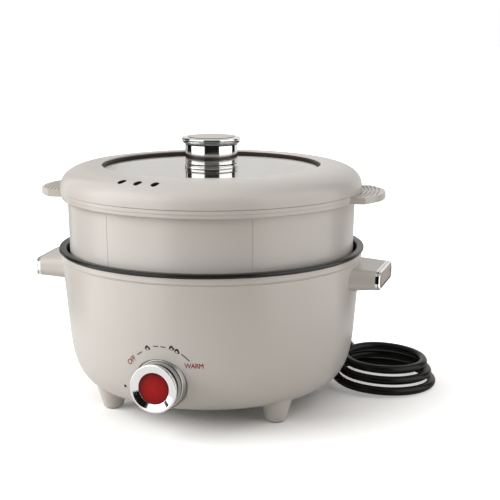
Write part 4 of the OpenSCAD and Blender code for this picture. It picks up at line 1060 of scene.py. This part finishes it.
seam_deep, seam_w = 0.0007, 0.0004
for azimuth in (-112.7, -55.2):
    seam = block((seam_deep, seam_w, flange_z - foot_z - 0.004), (0, 0, 0))
    put(seam, about_z(azimuth) @ on_wall)
    tub = combine(tub, seam, "DIFFERENCE")
add_piece("steamer_tub", tub, shell_plastic, "steamer", "shell_plastic", "steamer_basket", sharp=28)
dress(shell_plastic, "steam_plate")

# Lid
# A moulded ring with a domed section and three slanted steam vents, each lined with a dark silicone sleeve
# that paints the shade inside it. Its window is a disc of flat tempered glass in a dark brown silicone
# gasket, which a second ring clamps from below.
lid_box_low, lid_box_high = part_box("lid_ring")
lid_z = top_z + 0.0003
lid_top = lid_box_high.z
lid_r = lid_box_high.x
lid_wall = 0.0025
lid_full = 2.6
window_r = lid_r - 0.0379
skirt_low = lid_box_low.z
skirt_r = tub_r(flange_z) - tub_wall - 0.0012
gasket_low, gasket_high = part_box("lid_gasket")
well_r = window_r + 0.0015
lip_t = 0.0016


def dome_point(angle, inset):
    """A point on the dome's section, from its outer edge at 0 to the window at a right angle."""
    return (window_r + (lid_r - window_r - inset) * abs(math.cos(angle)) ** (2 / lid_full),
            lid_z + (lid_top - lid_z - inset) * math.sin(angle) ** (2 / lid_full))


def dome_angle(radius):
    return math.acos(((radius - window_r) / (lid_r - window_r - lid_wall)) ** (lid_full / 2))


def dome_inside(start_r, end_r, steps=12):
    start, end = dome_angle(start_r), dome_angle(end_r)
    return [dome_point(start + (end - start) * i / steps, lid_wall) for i in range(steps + 1)]


well_out = well_r + 0.0026
ring = spun(
    [dome_point(math.pi / 2 * i / 56, 0) for i in range(56)]
    + [(window_r, lid_top, 0.0008), (window_r, lid_top - lip_t, 0.0003), (well_r, lid_top - lip_t)]
    + [(well_r, gasket_low.z), (well_out, gasket_low.z)]
    + dome_inside(well_out, skirt_r - lid_wall)
    + [(skirt_r - lid_wall, skirt_low, 0.0004), (skirt_r, skirt_low, 0.0004)]
    + dome_inside(skirt_r, lid_r - lid_wall),
    240,
)
vent_r = lid_r - 0.0135
vent_w, vent_l, vent_round = 0.0060, 0.0076, 0.0029
vent_middle, vent_pitch, vent_slant = -9.6, 7.5, -31
vent_aims = []
for i in (-1, 0, 1):
    vent = block((vent_w, vent_l, 0.02), (0, 0, 0))
    round_off(vent, upright_edges(vent), vent_round, 6)
    out_to_vent = Matrix.Translation((0, -vent_r, lid_top))
    aim = about_z(vent_middle + vent_pitch * i) @ out_to_vent @ about_z(vent_slant)
    put(vent, aim)
    ring = combine(ring, vent, "DIFFERENCE")
    vent_aims.append(aim)
add_piece("lid_dome", ring, shell_plastic, "lid", "shell_plastic", "lid_ring", sharp=28)
dress(shell_plastic, "lid_under_ring")

glass_low, glass_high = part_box("lid_glass")
glass_r = glass_high.x
screw_hole_r = 0.0026
glass, place = new_material("tempered_glass")
haze = place.noise(25.0, 3.0)
feed(glass, {
    "Base Color": haze.blend((0.95, 0.945, 0.92), (0.98, 0.975, 0.95)),
    "Roughness": 0.01 + 0.02 * haze,
    "Coat Weight": 0.3,
    "Transmission Weight": 1.0,
    "IOR": 1.52,
})
add_piece("lid_window", spun([
    (screw_hole_r, glass_low.z), (glass_r, glass_low.z, 0.0006), (glass_r, glass_high.z, 0.0006),
    (screw_hole_r, glass_high.z),
], 192), glass, "lid", "clear_glass", "lid_glass")

silicone, place = new_material("brown_silicone")
bloom = place.noise(40.0, 3.0)
feed(silicone, {
    "Base Color": bloom.blend((0.018, 0.011, 0.008), (0.034, 0.020, 0.014)),
    "Roughness": 0.44 + 0.14 * bloom,
    "Specular IOR Level": 0.2,
    "Normal": place.noise(1600.0).bump(0.00004),
})
seal_lip = lid_top - 0.0010
add_piece("window_seal", spun([
    (glass_r - 0.003, gasket_low.z, 0.0004), (well_r - seat, gasket_low.z), (well_r - seat, gasket_high.z),
    (window_r - seat, gasket_high.z), (window_r - seat, seal_lip, 0.0005),
    (glass_r - 0.0010, seal_lip - 0.0010, 0.0006),
    (glass_r - 0.0015, glass_high.z + seat), (glass_r + 2 * seat, glass_high.z + seat),
    (glass_r + 2 * seat, glass_low.z), (glass_r - 0.003, glass_low.z),
], 192), silicone, "lid", "brown_silicone", "lid_gasket")

vent_share = (vent_r - window_r) / (lid_r - window_r)
vent_drop = (lid_top - lid_z) * (1 - (1 - vent_share**lid_full) ** (1 / lid_full))
vent_slope = vent_drop / (vent_r - window_r) * lid_full
# The dark sleeves in the vents are painted shade: they make the inside of the vents black.
shade_liner_play, shade_liner_h, shade_liner_t, shade_liner_sink = 0.0001, 0.004, 0.0004, 0.0001
shade_liners = bmesh.new()
for aim in vent_aims:
    shade_liner_mid = (0, 0, -vent_drop - shade_liner_sink - shade_liner_h / 2)
    shade_liner = block((vent_w - shade_liner_play, vent_l - shade_liner_play, shade_liner_h), shade_liner_mid)
    round_off(shade_liner, upright_edges(shade_liner), vent_round - shade_liner_play / 2, 6)
    bmesh.ops.delete(shade_liner, geom=[f for f in shade_liner.faces if abs(f.normal.z) > 0.9], context="FACES")
    bmesh.ops.solidify(shade_liner, geom=shade_liner.faces[:], thickness=shade_liner_t)
    put(shade_liner, aim)
    for vert in shade_liner.verts:
        vert.co.z -= vent_slope * (vert.co.xy.length - vent_r)
    join(shade_liners, shade_liner)
add_piece("vent_shade_liners", shade_liners, silicone, "lid", "brown_silicone")

# Lid knob
# A chrome-plated sleeve on the glass with a low collar at its foot and a flared lip at its top,
# closed by a disc in the shell's colour. One screw from below the glass holds it. Near-black lines of
# painted shade go round the chrome under the lip and above the collar, and round the disc's edge.
knob_foot = glass_high.z
knob_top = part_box("lid_knob")[1].z
post_r = 0.0238
cap_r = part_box("lid_knob")[1].x
inlay_r = 0.0212
lip_z = knob_top - 0.0020
neck_z = lip_z - 0.0052
bead_z = knob_foot + 0.003
bore_r = 0.0188
boss_r = 0.006
inlay_z = knob_top - 0.003
web_z = knob_foot + 0.002


# Near-black lines painted under the lip and in the groove above the collar stand for the shade there.
def knob_groove_shade(place):
    height = place.part("Z")
    under_lip_shade = height.maths("COMPARE", height, neck_z, 0.0005)
    return under_lip_shade + height.maths("COMPARE", height, bead_z + 0.0003, 0.0003)


grooved_chrome = plated("grooved_chrome", knob_groove_shade)
add_piece("lid_handle", spun([
    (boss_r + seat, knob_foot), (post_r + 0.0005, knob_foot, 0.0002),
    (post_r + 0.0005, bead_z - 0.0003, 0.0003), (post_r - 0.0009, bead_z + 0.0002),
    (post_r - 0.0009, bead_z + 0.0006), (post_r, bead_z + 0.0009, 0.0002),
    (post_r, neck_z - 0.0002, 0.0002), (post_r + 0.0010, neck_z + 0.0006, 0.0003),
    (cap_r - 0.0007, neck_z + 0.0017, 0.0005), (cap_r, lip_z, 0.0007),
    (cap_r - 0.0012, knob_top - 0.0009, 0.0008), (inlay_r + 0.0005, knob_top - 0.0008, 0.0002),
    (inlay_r + seat, knob_top - 0.0010), (inlay_r + seat, inlay_z),
    (bore_r, inlay_z), (bore_r, web_z), (boss_r + seat, web_z),
], 192), grooved_chrome, "lid", "chrome", "lid_knob")

inlay_plastic, place = new_material("inlay_plastic")
cloud = place.noise(80.0, 3.0)
# The disc's outer edge is painted near-black as the shade in the gap to the sleeve.
brim_shade = place.part("X").reach(place.part("Y")).fade(inlay_r - 0.0005, inlay_r - 0.0003)
tone = cloud.blend((0.545, 0.505, 0.450), (0.600, 0.560, 0.505))
feed(inlay_plastic, {
    "Base Color": brim_shade.blend(tone, (0.02, 0.017, 0.014)),
    "Roughness": 0.28 + 0.08 * cloud,
    "Normal": place.noise(2600.0).bump(0.00002),
})
inlay_crown = 0.0004
add_piece("lid_handle_disc", spun(
    [(0, knob_foot), (boss_r, knob_foot), (boss_r, inlay_z), (inlay_r, inlay_z)]
    + crowned(inlay_r, knob_top - 0.0001 - inlay_crown, inlay_crown),
    128,
), inlay_plastic, "lid", "inlay_plastic", "lid_knob_inlay")


# Stage
# A white table, a white surround, and soft light from the left with a weaker one from the right.
# Dark and light panels round the table show only in gloss and chrome.
def shown_to(wire):
    """Rays from the camera, rays from gloss, and these two together with rays through glass."""
    rays, mirrored, through = (wire.node("ShaderNodeLightPath", None, None, f"Is {kind} Ray")
                               for kind in ("Camera", "Glossy", "Transmission"))
    return rays, mirrored, rays.maths("MAXIMUM", rays, mirrored.maths("MAXIMUM", mirrored, through))


floor_mesh = bmesh.new()
bmesh.ops.create_circle(floor_mesh, cap_ends=True, segments=96, radius=9)
white_table, place = new_material("white_table")
rays, _, seen = shown_to(place)
# To the camera the table glows more the further it is from the pot: painted light that whitens it outside the
# pot's shadow.
shadow_x, shadow_r, white_r = 0.02, 0.072, 0.27
painted_glow = rays * (place.part("X") - shadow_x).reach(place.part("Y")).fade(shadow_r, white_r)
feed(white_table, {
    "Base Color": seen.blend((0.62, 0.60, 0.58), (0.95, 0.95, 0.95)),
    "Roughness": 0.9,
    "Specular IOR Level": 0.0,
    "Emission Color": painted_glow.blend((0, 0, 0), (1, 1, 1)),
    "Emission Strength": 0.80,
})
table = make_piece("table", floor_mesh, white_table)

toward_camera = math.atan2(-view_line.y, -view_line.x)
wall_near, wall_far, wall_low, wall_high = 0.36, 0.9, 0.0005, 1.0
wall_mesh = bmesh.new()
wire_line(wall_mesh, [(wall_near, 0, wall_low), (wall_far, 0, wall_low), (wall_far, 0, wall_high)])
turn_round(wall_mesh, 128)
panels, place = new_material("studio_panels")
turned = place.node("ShaderNodeMapping", None, {"Vector": place, "Rotation": (0, 0, -toward_camera)})
bearing = turned.maths("ARCTAN2", turned.part("Y"), turned.part("X")) / (2 * math.pi) + 0.5
glare, light = (1.0, 0.98, 0.955, 1), (0.48, 0.47, 0.458, 1)
dim, dark = (0.30, 0.294, 0.286, 1), (0.004, 0.004, 0.0035, 1)
stops = [(0.0, light)]
for degrees, before, after in (
    (-168, light, dim), (-152, dim, dark), (-140, dark, light), (-130, light, dark), (-95, dark, glare),
    (-29, glare, dark), (36, dark, glare), (103, glare, dark), (126, dark, light),
):
    stops += [((degrees - 1) / 360 + 0.5, before), ((degrees + 1) / 360 + 0.5, after)]
shade = bearing.node("ShaderNodeValToRGB", {"stops": stops}, {"Fac": bearing})
height = place.part("Z")
flag_turn, flag_half_w, flag_z, flag_half_h = -57, 0.03, 0.04, 0.025
flag_across = bearing.maths("COMPARE", bearing, flag_turn / 360 + 0.5, flag_half_w)
flag = flag_across * height.maths("COMPARE", height, flag_z, flag_half_h)
feed(panels, {
    "Base Color": (0, 0, 0, 1),
    "Specular IOR Level": 0.0,
    "Emission Color": flag.blend(shade, dark),
    "Emission Strength": 1.8,
})
studio = make_piece("studio_wall", wall_mesh, panels)
studio.visible_camera = False
studio.visible_diffuse = False
studio.visible_transmission = False
studio.visible_shadow = False

for name, turn, height, strength, spread in (("key", -80, 28, 2.7, 55), ("fill", 75, 28, 0.66, 60)):
    lamp_data = bpy.data.lights.new(name, "SUN")
    lamp_data.energy = strength
    lamp_data.angle = math.radians(spread)
    lamp_object = add_object(name, lamp_data)
    around, up = toward_camera + math.radians(turn), math.radians(height)
    aim = Vector((math.cos(up) * math.cos(around), math.cos(up) * math.sin(around), math.sin(up)))
    lamp_object.rotation_euler = aim.to_track_quat("Z", "Y").to_euler()
    lamp_object.visible_glossy = False

world = bpy.data.worlds.new("surround")
world.use_nodes = True
tree = world.node_tree
start = Wire(tree, tree.nodes["Background"].inputs["Color"])
_, mirrored, seen = shown_to(start)
overhead = Wire(tree, tree.nodes.new("ShaderNodeTexCoord").outputs["Generated"]).part("Z").fade(0.2, 0.9)
ambient = overhead.blend((0.470, 0.449, 0.428), (0.390, 0.373, 0.355))
shown = (1 - mirrored * overhead * 0.45).grey()
tree.links.new(seen.blend(ambient, shown).socket, start.socket)
bpy.context.scene.world = world
bpy.context.scene.view_settings.view_transform = "Standard"
